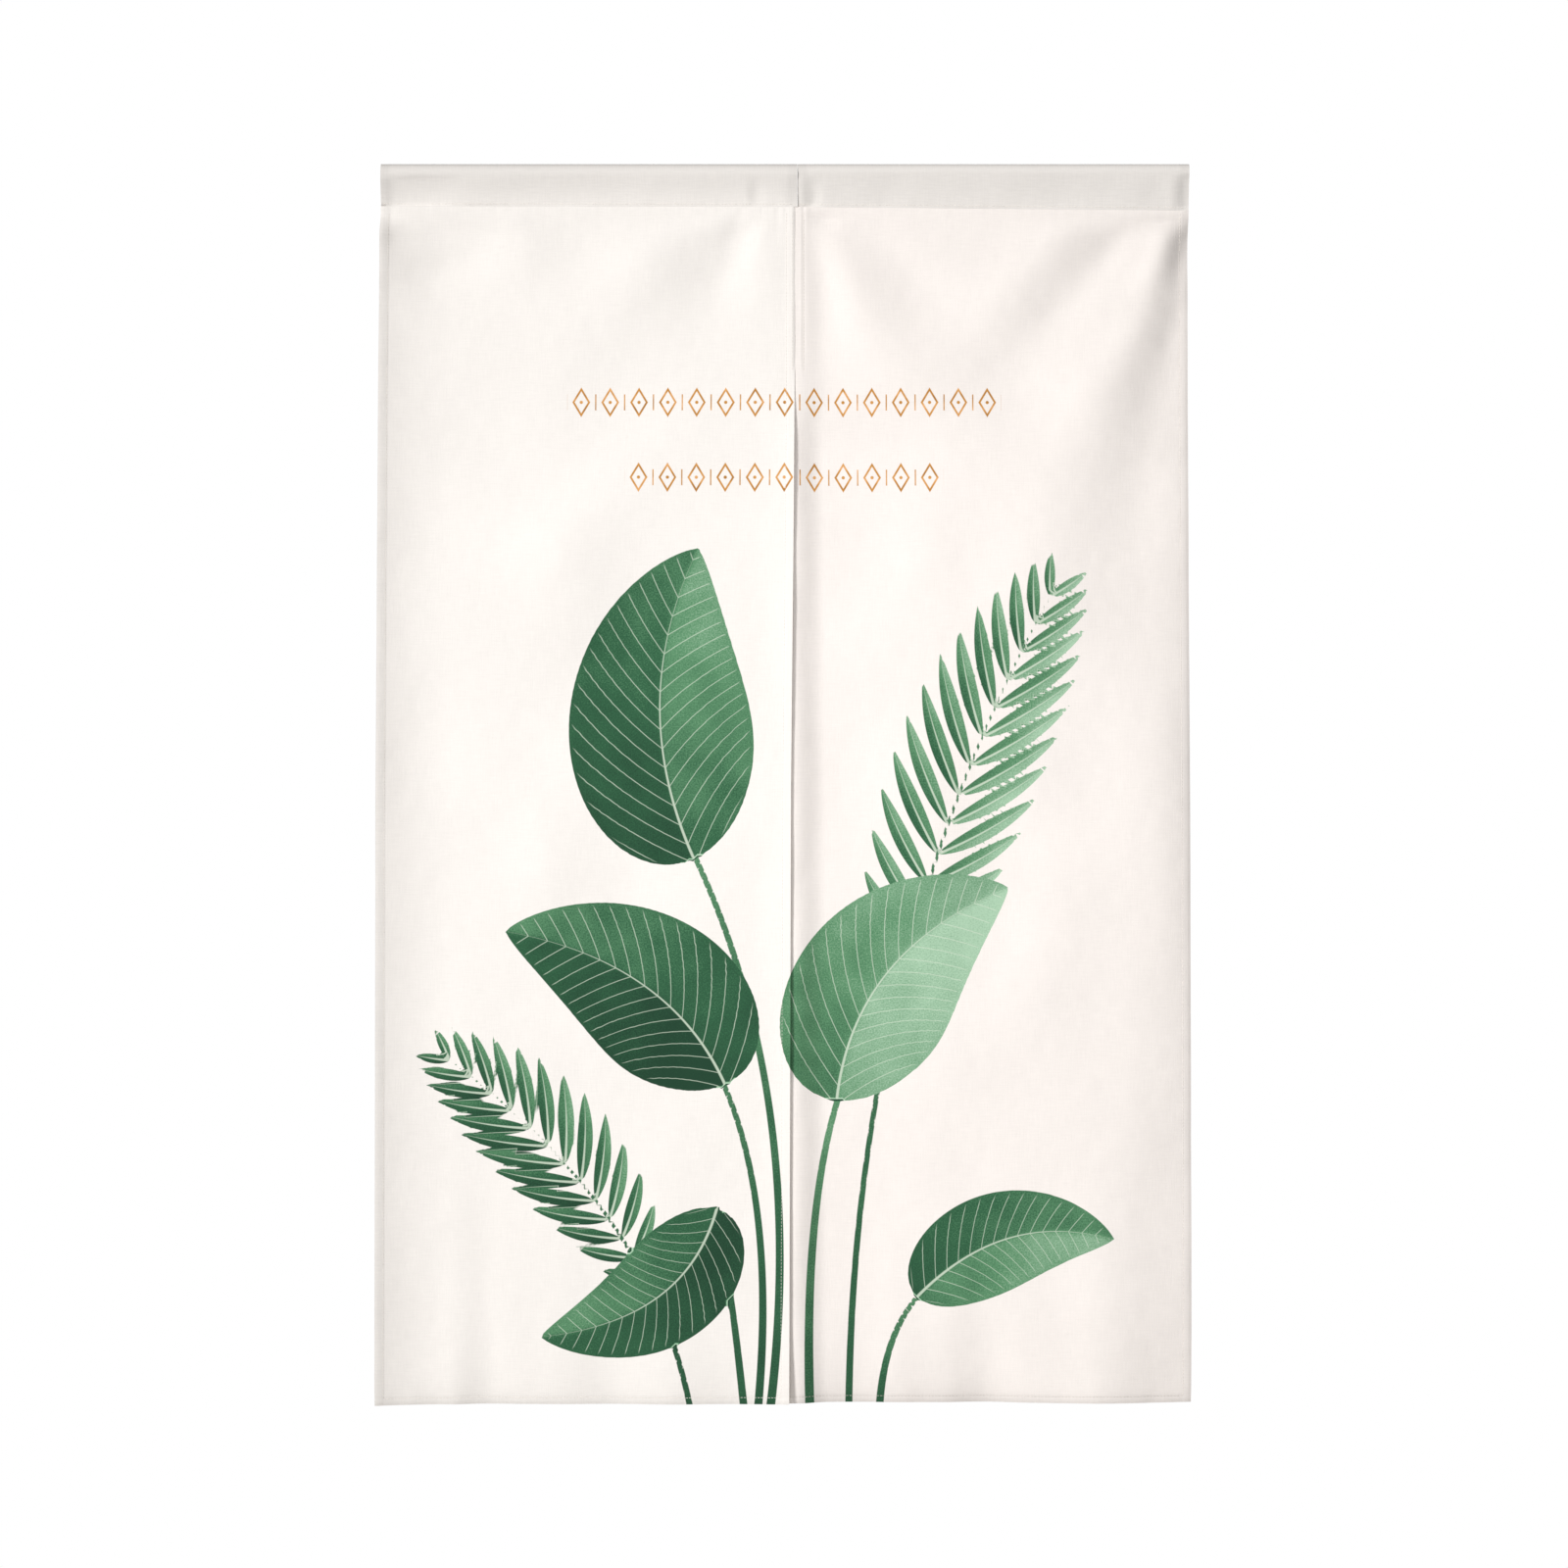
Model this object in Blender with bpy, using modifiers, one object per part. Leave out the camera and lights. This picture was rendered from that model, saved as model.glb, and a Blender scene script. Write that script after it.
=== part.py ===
"""A two-panel doorway curtain with a rod pocket, hanging in soft folds.

Two equal lengths of cloth lap at the middle. They are sewn together from the rod pocket down to the
slit, and hang free below it, the left one in front. The top of each length is folded to the back
over the rod and sewn down, which makes its rod pocket.

The front of the curtain faces -Y, +X runs to its right as the viewer sees it, and the origin is the
middle of its top edge. A drop is a distance down from that edge.
"""

import math
from collections import namedtuple

import bmesh
import bpy
from mathutils import Vector

MM = 0.001

# The cut of the curtain, in metres.
CURTAIN_DROP = 1.200
PANEL_WIDTH = 0.4000
SLIT_TOP_DROP = 0.200

# The cloth, and the hems that are turned to its back.
CLOTH_THICKNESS = 1.0 * MM
HEM_THICKNESS = 2.0 * MM
SIDE_HEM = 9.5 * MM
LAP_WIDTH = 2 * SIDE_HEM
BOTTOM_HEM = 8.0 * MM
HEM_STEP = 1.0 * MM
GAP = 0.3 * MM

# The thickness of the closed end of a rod pocket, where its row of stitches is.
POCKET_SEAM_THICKNESS = 2.2 * MM

# How the two panels part below the top of the slit. The setback starts under the lap.
SLIT_OPENS_OVER = 80.0 * MM
SLIT_LIFT, SLIT_LIFT_WIDTH = 2.6 * MM, 40.0 * MM
SLIT_SETBACK, SLIT_SETBACK_NEAR, SLIT_SETBACK_WIDTH = 6.0 * MM, 30.0 * MM, 110.0 * MM
SETBACK_UNDER_LAP = 4.0 * MM
# What holds the folds flat or curls the edges, and how far that reaches.
SIDE_CURL_WIDTH = 70.0 * MM
LAP_STIFFNESS_WIDTH = 30.0 * MM
FLAT_BELOW_POCKET = 6.0 * MM
FOLDS_START_OVER = 24.0 * MM
SWAY = 3.0 * MM

# The spacing of the points that the folds are worked out at.
COLUMN_SPACING = 20.0 * MM
UPPER_ROW_SPACING, LOWER_ROW_SPACING = 21.0 * MM, 30.0 * MM
FOLDED_DROP = 0.400
POCKET_SECTION_SPACING = 50.0 * MM
POCKET_ARC_STEPS = 10
POCKET_WALL_STEPS = 4
# Lengths that differ by less than this are the same.
ROUNDING = 0.001 * MM

LINEN = (0.86, 0.82, 0.78, 1.0)
HEADING_LINEN = (0.76, 0.72, 0.69, 1.0)
CLOTH_ROUGHNESS = 0.92

# The pocket's seam drops a little towards the right. All in millimetres.
SeamPoint = namedtuple("SeamPoint", "x drop")
POCKET_SEAM = (
    SeamPoint(x=-391, drop=40.5),
    SeamPoint(x=10, drop=41.0),
    SeamPoint(x=391, drop=44.5),
)

# The outer edges spread as they hang down. All in millimetres.
EdgePoint = namedtuple("EdgePoint", "drop left_outward right_outward")
SPREAD = (
    EdgePoint(drop=0, left_outward=0.0, right_outward=0.0),
    EdgePoint(drop=220, left_outward=1.6, right_outward=0.2),
    EdgePoint(drop=600, left_outward=3.9, right_outward=1.9),
    EdgePoint(drop=900, left_outward=4.6, right_outward=3.0),
    EdgePoint(drop=1200, left_outward=5.4, right_outward=4.0),
)

# Each fold is a soft ridge (heights above 0) or trough (below 0) along a straight line, with a round
# cross-section. It widens along the line, and its height has a value at its start, its middle and
# its end. All in millimetres.
Fold = namedtuple(
    "Fold", "start_x start_drop end_x end_drop start_width end_width start_height middle_height end_height"
)
LEFT_FOLDS = (
    # From the top of the seam between the panels, down and outwards.
    Fold(-28, 44, -98, 184, 10, 40, -2.6, -3.8, 0.0),
    Fold(-66, 44, -200, 150, 14, 44, 1.6, 3.4, 1.4),
    # Below the upper outer corner.
    Fold(-392, 42, -386, 120, 12, 16, 2.4, 1.2, 0.0),
    Fold(-344, 104, -258, 56, 26, 30, -3.2, -3.6, -1.0),
    # The broad slanting folds of the middle.
    Fold(-128, 280, -312, 460, 34, 52, 0.0, 5.4, 0.0),
    Fold(-62, 368, -230, 550, 34, 52, 0.0, -4.8, 0.0),
    Fold(-236, 590, -226, 780, 28, 36, 0.0, 3.4, 0.0),
    Fold(-164, 620, -136, 780, 28, 38, 0.0, -2.6, 0.0),
    Fold(-300, 760, -318, 960, 28, 36, 0.0, 2.4, 0.0),
    # The upright flutes above the hem.
    Fold(-318, 940, -320, 1200, 12, 17, 0.0, 0.9, 2.6),
    Fold(-289, 960, -288, 1200, 12, 19, 0.0, -1.0, -2.8),
    Fold(-216, 900, -212, 1200, 18, 28, 0.0, 1.2, 2.8),
    Fold(-174, 1000, -172, 1200, 15, 22, 0.0, -0.7, -2.0),
    Fold(-108, 880, -112, 1200, 26, 36, 0.0, 1.2, 2.4),
)
RIGHT_FOLDS = (
    # From the top of the seam between the panels, down and outwards.
    Fold(27, 48, 134, 250, 10, 40, 1.6, 4.0, 1.2),
    Fold(60, 44, 198, 184, 13, 38, -2.0, -4.0, -1.4),
    # From the upper outer corner, down and inwards, the sharpest folds of the curtain.
    Fold(288, 44, 152, 200, 16, 42, 1.6, 3.8, 1.0),
    Fold(342, 46, 186, 240, 13, 40, -2.8, -4.6, 0.0),
    Fold(378, 44, 333, 170, 8, 22, 2.6, 3.6, 0.0),
    Fold(333, 170, 252, 296, 22, 44, 3.6, 3.8, 0.0),
    Fold(252, 296, 228, 540, 44, 62, 3.0, 4.4, 0.0),
    Fold(396, 42, 378, 150, 8, 18, -3.6, -4.8, 0.0),
    Fold(378, 150, 346, 310, 18, 40, -4.8, -5.0, 0.0),
    Fold(346, 310, 336, 560, 40, 60, -4.4, -5.0, 0.0),
    # The broad slanting folds of the middle.
    Fold(118, 300, 160, 470, 28, 44, 0.0, 2.4, 0.0),
    Fold(196, 560, 226, 760, 38, 50, 0.0, -3.0, 0.0),
    Fold(262, 690, 218, 900, 38, 50, 0.0, 3.2, 0.0),
    Fold(146, 880, 204, 1070, 32, 44, 0.0, -2.8, 0.0),
    # The upright flutes beside the outer edge and above the hem.
    Fold(372, 720, 370, 1200, 26, 34, 0.0, -2.8, -3.4),
    Fold(104, 1000, 108, 1200, 16, 28, 0.0, 2.0, 5.4),
    Fold(186, 1020, 196, 1200, 22, 34, 0.0, -2.6, -7.0),
    Fold(296, 940, 312, 1200, 24, 36, 0.0, 2.0, 4.4),
)

Side = namedtuple(
    "Side",
    "outward edge_x spread_column folds front_y pocket_radius side_curl hem_curl hem_curl_height",
)
LEFT = Side(
    outward=-1,
    edge_x=-390.6 * MM,
    spread_column="left_outward",
    folds=LEFT_FOLDS,
    front_y=-POCKET_SEAM_THICKNESS / 2,
    pocket_radius=9.5 * MM,
    side_curl=-11.0 * MM,
    hem_curl=3.0 * MM,
    hem_curl_height=45.0 * MM,
)
RIGHT = Side(
    outward=1,
    edge_x=390.5 * MM,
    spread_column="right_outward",
    folds=RIGHT_FOLDS,
    front_y=1.4 * MM,
    pocket_radius=8.1 * MM,
    side_curl=5.0 * MM,
    hem_curl=7.0 * MM,
    hem_curl_height=100.0 * MM,
)


def clear_scene():
    for old in list(bpy.data.objects):
        bpy.data.objects.remove(old)


def smooth(value):
    """0 below 0, 1 above 1, and a smooth step between."""
    share = min(max(value, 0.0), 1.0)
    return share * share * (3 - 2 * share)


def between(rows, key, value, column):
    """The value of a table's column, read between its rows by another column."""
    if value <= getattr(rows[0], key):
        return getattr(rows[0], column)
    for above, below in zip(rows, rows[1:]):
        low, high = getattr(above, key), getattr(below, key)
        if value <= high:
            share = (value - low) / (high - low)
            return getattr(above, column) * (1 - share) + getattr(below, column) * share
    return getattr(rows[-1], column)


def pocket_seam_drop(x):
    return between(POCKET_SEAM, "x", x / MM, "drop") * MM


def fold_lift(fold, x, drop):
    """How far a fold lifts the cloth towards the viewer at this place."""
    start = Vector((fold.start_x, fold.start_drop)) * MM
    run = Vector((fold.end_x, fold.end_drop)) * MM - start
    offset = Vector((x, drop)) - start
    along = min(max(offset.dot(run) / run.length_squared, 0.0), 1.0)
    width = (fold.start_width + (fold.end_width - fold.start_width) * along) * MM
    if along < 0.5:
        height = fold.start_height + (fold.middle_height - fold.start_height) * along * 2
    else:
        height = fold.middle_height + (fold.end_height - fold.middle_height) * (along * 2 - 1)
    distance = (offset - run * along).length
    return height * MM * math.exp(-((distance / width) ** 2))


def curled(distance, depth, width):
    """How far an edge has curled back, at a distance from it."""
    return depth * (1 - min(distance / width, 1.0)) ** 2


def parting(side, across, drop):
    """How far back a panel is moved beside the open slit. The left one comes forward."""
    opened = smooth((drop - SLIT_TOP_DROP) / SLIT_OPENS_OVER)
    if side is LEFT:
        return -SLIT_LIFT * opened * (1 - smooth((PANEL_WIDTH - across) / SLIT_LIFT_WIDTH))
    from_lap = PANEL_WIDTH - LAP_WIDTH - across
    near = smooth((from_lap + SETBACK_UNDER_LAP) / SLIT_SETBACK_NEAR)
    far = 1 - smooth(from_lap / SLIT_SETBACK_WIDTH)
    return SLIT_SETBACK * opened * near * far


def panel_point(side, across, drop):
    """A point of a panel's front face, by its distance from the panel's outer edge and its drop.

    The pocket's seam and the lap hold the folds flat. The whole curtain sways out a little.
    """
    outwards = between(SPREAD, "drop", drop / MM, side.spread_column) * MM - across
    x = side.edge_x + side.outward * outwards
    lifted = sum(fold_lift(fold, x, drop) for fold in side.folds)
    sway = SWAY * math.sin(math.pi * drop / CURTAIN_DROP)
    free_of_lap = smooth((PANEL_WIDTH - LAP_WIDTH - across) / LAP_STIFFNESS_WIDTH)
    below_seam = drop - pocket_seam_drop(x) - FLAT_BELOW_POCKET
    free_of_pocket = smooth(below_seam / FOLDS_START_OVER)
    back = curled(across, side.side_curl, SIDE_CURL_WIDTH)
    back += curled(CURTAIN_DROP - drop, side.hem_curl, side.hem_curl_height)
    y = side.front_y + (back - lifted * free_of_lap - sway) * free_of_pocket
    return Vector((x, y + parting(side, across, drop), -drop))


def evenly(start, end, spacing):
    """Values from start to end, evenly spaced, at most spacing apart."""
    steps = max(math.ceil((end - start - ROUNDING) / spacing), 1)
    return [start + (end - start) * step / steps for step in range(steps + 1)]


def panel_columns():
    """Distances across a panel, with a pair at the inner edge of each side hem."""
    inner = evenly(SIDE_HEM + HEM_STEP, PANEL_WIDTH - SIDE_HEM - HEM_STEP, COLUMN_SPACING)
    return [0.0, SIDE_HEM, *inner, PANEL_WIDTH - SIDE_HEM, PANEL_WIDTH]


def panel_rows():
    """Shares of the way from the pocket's seam to the hem, with a pair at the top of the hem."""
    top = POCKET_SEAM[0].drop * MM
    upper = evenly(top + FLAT_BELOW_POCKET, FOLDED_DROP, UPPER_ROW_SPACING)
    hem_top = CURTAIN_DROP - BOTTOM_HEM
    lower = evenly(FOLDED_DROP, hem_top - HEM_STEP, LOWER_ROW_SPACING)
    drops = [top, *upper, *lower[1:], hem_top, CURTAIN_DROP]
    return [(drop - top) / (CURTAIN_DROP - top) for drop in drops]


def in_side_hem(across):
    return min(across, PANEL_WIDTH - across) <= SIDE_HEM + ROUNDING


def in_bottom_hem(share):
    lowest_share = 1 - (BOTTOM_HEM + ROUNDING) / (CURTAIN_DROP - POCKET_SEAM[0].drop * MM)
    return share >= lowest_share


def cloth_material(name, colour):
    material = bpy.data.materials.new(name)
    material.use_nodes = True
    shader = material.node_tree.nodes["Principled BSDF"]
    shader.inputs["Base Color"].default_value = colour
    shader.inputs["Roughness"].default_value = CLOTH_ROUGHNESS
    shader.inputs["Metallic"].default_value = 0.0
    return material


def thicken(cloth, hem_points):
    """Gives a sheet of cloth its thickness, behind its front face, and double that in its hems."""
    hem = cloth.vertex_groups.new(name="hem")
    hem.add(hem_points, 1.0, "REPLACE")
    solid = cloth.modifiers.new("thickness", "SOLIDIFY")
    solid.thickness = HEM_THICKNESS
    solid.offset = -1
    solid.vertex_group = hem.name
    solid.thickness_vertex_group = CLOTH_THICKNESS / HEM_THICKNESS


def make_object(name, mesh, material, collection):
    mesh.materials.append(material)
    mesh.shade_smooth()
    made = bpy.data.objects.new(name, mesh)
    collection.objects.link(made)
    return made


def face_away_from(bm, inner_point):
    """Turns the faces of an open sheet so that they point away from a point, worked out for each."""
    for face in bm.faces:
        if face.normal.dot(face.calc_center_median() - inner_point(face)) < 0:
            face.normal_flip()


def make_panel(name, side, material, collection):
    """One panel, from below its pocket's seam to its hem."""
    columns, rows = panel_columns(), panel_rows()
    bm = bmesh.new()
    last_column, last_row = len(columns) - 1, len(rows) - 1
    bmesh.ops.create_grid(bm, x_segments=last_column, y_segments=last_row, size=0.5)
    hem_points = []
    for vertex in bm.verts:
        across = columns[round((vertex.co.x + 0.5) * last_column)]
        share = rows[round((0.5 - vertex.co.y) * last_row)]
        top = pocket_seam_drop(panel_point(side, across, 0.0).x) + GAP
        vertex.co = panel_point(side, across, top + (CURTAIN_DROP - top) * share)
        if in_side_hem(across) or in_bottom_hem(share):
            hem_points.append(vertex.index)
    bm.normal_update()
    face_away_from(bm, lambda face: face.calc_center_median() + Vector((0, 1, 0)))
    mesh = bpy.data.meshes.new(name)
    bm.to_mesh(mesh)
    bm.free()
    thicken(make_object(name, mesh, material, collection), hem_points)


def tangent_angle(radius, y, z, turn):
    """Where a straight wall from (y, z) meets a circle about the origin, on its -Y or +Y side."""
    return math.atan2(z, y) + turn * math.acos(radius / math.hypot(y, z))


def pocket_profile(radius, front_y, seam_drop):
    """A pocket's outer outline, (y, z) from the front of its seam, over the rod, to the back."""
    axis_z = -radius
    seam_z = -seam_drop
    back_y = front_y + POCKET_SEAM_THICKNESS
    front_angle = tangent_angle(radius, front_y, seam_z - axis_z, -1) % math.tau
    back_angle = tangent_angle(radius, back_y, seam_z - axis_z, 1)
    arc = [
        (radius * math.cos(angle), axis_z + radius * math.sin(angle))
        for angle in (
            front_angle + (back_angle - front_angle) * step / POCKET_ARC_STEPS
            for step in range(POCKET_ARC_STEPS + 1)
        )
    ]

    def wall(seam_y, meets):
        shares = [step / POCKET_WALL_STEPS for step in range(POCKET_WALL_STEPS)]
        return [
            (seam_y + (meets[0] - seam_y) * share, seam_z + (meets[1] - seam_z) * share)
            for share in shares
        ]

    return wall(front_y, arc[0]) + arc + wall(back_y, arc[-1])[::-1]


def pocket_sections(start_x, end_x):
    """Places along a pocket, with a pair at the inner edge of each side hem."""
    inner = evenly(
        start_x + SIDE_HEM + HEM_STEP, end_x - SIDE_HEM - HEM_STEP, POCKET_SECTION_SPACING
    )
    return [start_x, start_x + SIDE_HEM, *inner, end_x - SIDE_HEM, end_x]


def make_pocket(name, side, start_x, end_x, material, collection):
    """One rod pocket: an open tube, round over the rod and drawn in to its seam."""
    sections = pocket_sections(start_x, end_x)
    bm = bmesh.new()
    outline = pocket_profile(side.pocket_radius, side.front_y, pocket_seam_drop(start_x))
    ring = [bm.verts.new((start_x, y, z)) for y, z in outline]
    edges = [bm.edges.new(pair) for pair in zip(ring, ring[1:] + ring[:1])]
    for x in sections[1:]:
        made = bmesh.ops.extrude_edge_only(bm, edges=edges)["geom"]
        edges = [item for item in made if isinstance(item, bmesh.types.BMEdge)]
        for vertex in {vertex for edge in edges for vertex in edge.verts}:
            vertex.co.x = x
    lowest = -pocket_seam_drop(start_x)
    axis_z = -side.pocket_radius
    for vertex in bm.verts:
        share = max((axis_z - vertex.co.z) / (axis_z - lowest), 0.0)
        vertex.co.z -= share * (pocket_seam_drop(vertex.co.x) + lowest)
    bm.normal_update()
    face_away_from(bm, lambda face: Vector((face.calc_center_median().x, 0.5 * MM, axis_z)))
    bm.verts.index_update()
    hem_points = [
        vertex.index
        for vertex in bm.verts
        if min(vertex.co.x - start_x, end_x - vertex.co.x) <= SIDE_HEM + ROUNDING
    ]
    mesh = bpy.data.meshes.new(name)
    bm.to_mesh(mesh)
    bm.free()
    thicken(make_object(name, mesh, material, collection), hem_points)


def main():
    clear_scene()
    curtain = bpy.data.collections.new("doorway_curtain")
    bpy.context.scene.collection.children.link(curtain)
    linen = cloth_material("linen", LINEN)
    heading = cloth_material("heading_linen", HEADING_LINEN)
    make_panel("left_panel", LEFT, linen, curtain)
    make_panel("right_panel", RIGHT, linen, curtain)
    lap_x = LEFT.edge_x + PANEL_WIDTH
    make_pocket("left_rod_pocket", LEFT, LEFT.edge_x, lap_x, heading, curtain)
    make_pocket("right_rod_pocket", RIGHT, lap_x + GAP, RIGHT.edge_x, heading, curtain)


main()
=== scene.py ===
# %% [markdown]
# # A printed doorway curtain
#
# The curtain is two lengths of off-white cotton-linen. The top of each is folded to the back over a
# rod and sewn down, and the left length laps over the right one. A row of stitches joins them for the
# first twenty centimetres, and below that the slit is open. This lesson dresses its plain solids as
# cloth: it makes the two sheets again with a finer surface, weaves and prints them, and sews them.

# %% The frame
import math
from collections import namedtuple

import bmesh
import bpy
import numpy as np
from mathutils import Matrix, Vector
from mathutils.bvhtree import BVHTree


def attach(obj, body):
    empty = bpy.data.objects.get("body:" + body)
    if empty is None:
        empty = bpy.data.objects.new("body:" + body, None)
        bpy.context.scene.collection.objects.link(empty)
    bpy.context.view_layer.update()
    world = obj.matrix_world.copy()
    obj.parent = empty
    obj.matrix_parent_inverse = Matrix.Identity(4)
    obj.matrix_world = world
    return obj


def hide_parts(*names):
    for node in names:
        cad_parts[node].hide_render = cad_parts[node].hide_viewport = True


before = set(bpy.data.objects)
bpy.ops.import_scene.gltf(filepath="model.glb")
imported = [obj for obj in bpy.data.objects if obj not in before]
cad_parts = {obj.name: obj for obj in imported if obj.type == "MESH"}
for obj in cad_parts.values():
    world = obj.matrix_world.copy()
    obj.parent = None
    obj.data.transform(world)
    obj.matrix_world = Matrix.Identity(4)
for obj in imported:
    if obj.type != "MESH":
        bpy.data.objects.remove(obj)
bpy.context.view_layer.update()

print("solids:", sorted(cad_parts))

# %% [markdown]
# ## The camera
#
# The picture was taken face on, from far enough away that the sides of the curtain look parallel. A
# long lens does the same. Its distance follows from one measure: how many millimetres of the curtain
# one pixel of the picture covers.

# %% The camera
MM = 0.001
PICTURE_WIDTH_PX = 1600
PX_SIZE = 0.948 * MM
PICTURE_MIDDLE_X = -1.0 * MM
PICTURE_MIDDLE_DROP = 599.5 * MM
LENS_MM, SENSOR_MM = 100, 36

camera_distance = PICTURE_WIDTH_PX * PX_SIZE * LENS_MM / SENSOR_MM
camera_data = bpy.data.cameras.new("camera")
camera_data.lens = LENS_MM
camera_data.sensor_width = SENSOR_MM
camera = bpy.data.objects.new("camera", camera_data)
camera.location = (PICTURE_MIDDLE_X, -camera_distance, -PICTURE_MIDDLE_DROP)
camera.rotation_euler = (math.radians(90), 0, 0)
bpy.context.scene.collection.objects.link(camera)
bpy.context.scene.camera = camera
print(f"the camera is {camera_distance:.2f} m in front of the curtain")

# %% [markdown]
# ## Light
#
# The folds are so shallow that only slanting light shows them. The main light comes from the left,
# and from so far away that both sides of the curtain get as much of it: a sun, made soft by its
# angle. A weaker round light stands near the camera, and its light fades towards the hem. The camera
# itself sees the surroundings as plain white, as in the picture. A light behind the curtain is there
# for the views of its back.

# %% Light and surroundings
KEY_AZIMUTH_DEG, KEY_HEIGHT_DEG, KEY_SOFTNESS_DEG, KEY_STRENGTH = 38, 21, 13, 2.64
FRONT_PLACE, FRONT_SIZE, FRONT_POWER = (-0.10, -1.35, -0.42), 0.7, 6.6
BACK_PLACE, BACK_SIZE, BACK_POWER = (1.6, 3.2, 0.8), 2.0, 90
FILL_STRENGTH = 0.12
FLOOR_DROP, FLOOR_HALF_WIDTH = 1.95, 2.0


def add_light(name, kind, place, size, power):
    data = bpy.data.lights.new(name, kind)
    data.energy = power
    if kind == "SUN":
        data.angle = size
    else:
        data.shape = "DISK"
        data.size = size
    made = bpy.data.objects.new(name, data)
    made.location = place
    towards = Vector((0, 0, -PICTURE_MIDDLE_DROP)) - Vector(place)
    made.rotation_euler = towards.to_track_quat("-Z", "Y").to_euler()
    made.visible_camera = False
    bpy.context.scene.collection.objects.link(made)


azimuth, height = math.radians(KEY_AZIMUTH_DEG), math.radians(KEY_HEIGHT_DEG)
key_direction = Vector(
    (-math.sin(azimuth) * math.cos(height), -math.cos(azimuth) * math.cos(height), math.sin(height))
)
key_place = 6 * key_direction - Vector((0, 0, PICTURE_MIDDLE_DROP))
add_light("key_light", "SUN", key_place, math.radians(KEY_SOFTNESS_DEG), KEY_STRENGTH)
add_light("front_light", "AREA", FRONT_PLACE, FRONT_SIZE, FRONT_POWER)
add_light("back_light", "AREA", BACK_PLACE, BACK_SIZE, BACK_POWER)

world = bpy.data.worlds.new("surroundings")
world.use_nodes = True
world_tree = world.node_tree
world_tree.nodes.clear()
seen = world_tree.nodes.new("ShaderNodeBackground")
seen.inputs["Color"].default_value = (1, 1, 1, 1)
fill = world_tree.nodes.new("ShaderNodeBackground")
fill.inputs["Color"].default_value = (1.0, 0.985, 0.97, 1)
fill.inputs["Strength"].default_value = FILL_STRENGTH
ray = world_tree.nodes.new("ShaderNodeLightPath")
choose = world_tree.nodes.new("ShaderNodeMixShader")
sky = world_tree.nodes.new("ShaderNodeOutputWorld")
world_tree.links.new(ray.outputs["Is Camera Ray"], choose.inputs[0])
world_tree.links.new(fill.outputs[0], choose.inputs[1])
world_tree.links.new(seen.outputs[0], choose.inputs[2])
world_tree.links.new(choose.outputs[0], sky.inputs["Surface"])
bpy.context.scene.world = world
bpy.context.scene.view_settings.view_transform = "Standard"

# %% [markdown]
# ## The measures of the curtain
#
# These are the sizes that the solids were cut to. The sheets that replace them use the same ones, so
# each new sheet hangs in the space of its solid. A drop is a distance down from the top edge.

# %% The measures of the curtain
CURTAIN_DROP = 1.200
PANEL_WIDTH = 0.4000
SLIT_TOP_DROP = 0.200
SIDE_HEM = 9.5 * MM
BOTTOM_HEM = 8.0 * MM
LAP_WIDTH = 2 * SIDE_HEM
CLOTH_THICKNESS = 0.6 * MM
HEM_THICKNESS = 1.2 * MM
POCKET_SEAM_THICKNESS = 2.2 * MM

SIDE_CURL_WIDTH = 70.0 * MM
SLIT_OPENS_OVER = 80.0 * MM
SLIT_LIFT, SLIT_LIFT_WIDTH = 2.6 * MM, 40.0 * MM
SLIT_SETBACK, SLIT_SETBACK_NEAR = 6.0 * MM, 30.0 * MM
SETBACK_UNDER_LAP, SETBACK_STAYS, SETBACK_RETURN = 4.0 * MM, 36.0 * MM, 120.0 * MM
LAP_STIFFNESS_WIDTH = 30.0 * MM
FLAT_BELOW_POCKET, FOLDS_START_OVER = 5.0 * MM, 24.0 * MM
SWAY = 3.0 * MM

# All in millimetres.
SeamPoint = namedtuple("SeamPoint", "x drop")
POCKET_SEAM = (
    SeamPoint(x=-391, drop=40.5),
    SeamPoint(x=10, drop=41.0),
    SeamPoint(x=391, drop=44.5),
)
EdgePoint = namedtuple("EdgePoint", "drop left_outward right_outward")
SPREAD = (
    EdgePoint(drop=0, left_outward=0.0, right_outward=0.0),
    EdgePoint(drop=220, left_outward=1.6, right_outward=0.2),
    EdgePoint(drop=600, left_outward=3.9, right_outward=1.9),
    EdgePoint(drop=900, left_outward=4.6, right_outward=3.0),
    EdgePoint(drop=1200, left_outward=5.4, right_outward=4.0),
)
LapPoint = namedtuple("LapPoint", "drop rightward")
STRAIGHT_LAP = (
    LapPoint(drop=0, rightward=0.0),
    LapPoint(drop=200, rightward=1.4),
    LapPoint(drop=330, rightward=1.4),
    LapPoint(drop=600, rightward=0.3),
    LapPoint(drop=1200, rightward=0.0),
)
LAP_EASE = 80.0 * MM


def table_value(rows, key, column, value):
    """Reads a column of a table in millimetres, between its rows, at values in metres."""
    keys = [getattr(row, key) * MM for row in rows]
    return np.interp(value, keys, [getattr(row, column) * MM for row in rows])


def pocket_seam_drop(x):
    return table_value(POCKET_SEAM, "x", "drop", x)


print(f"the seam of the pocket is {pocket_seam_drop(0.39) / MM:.1f} mm down at its right end")
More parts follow.
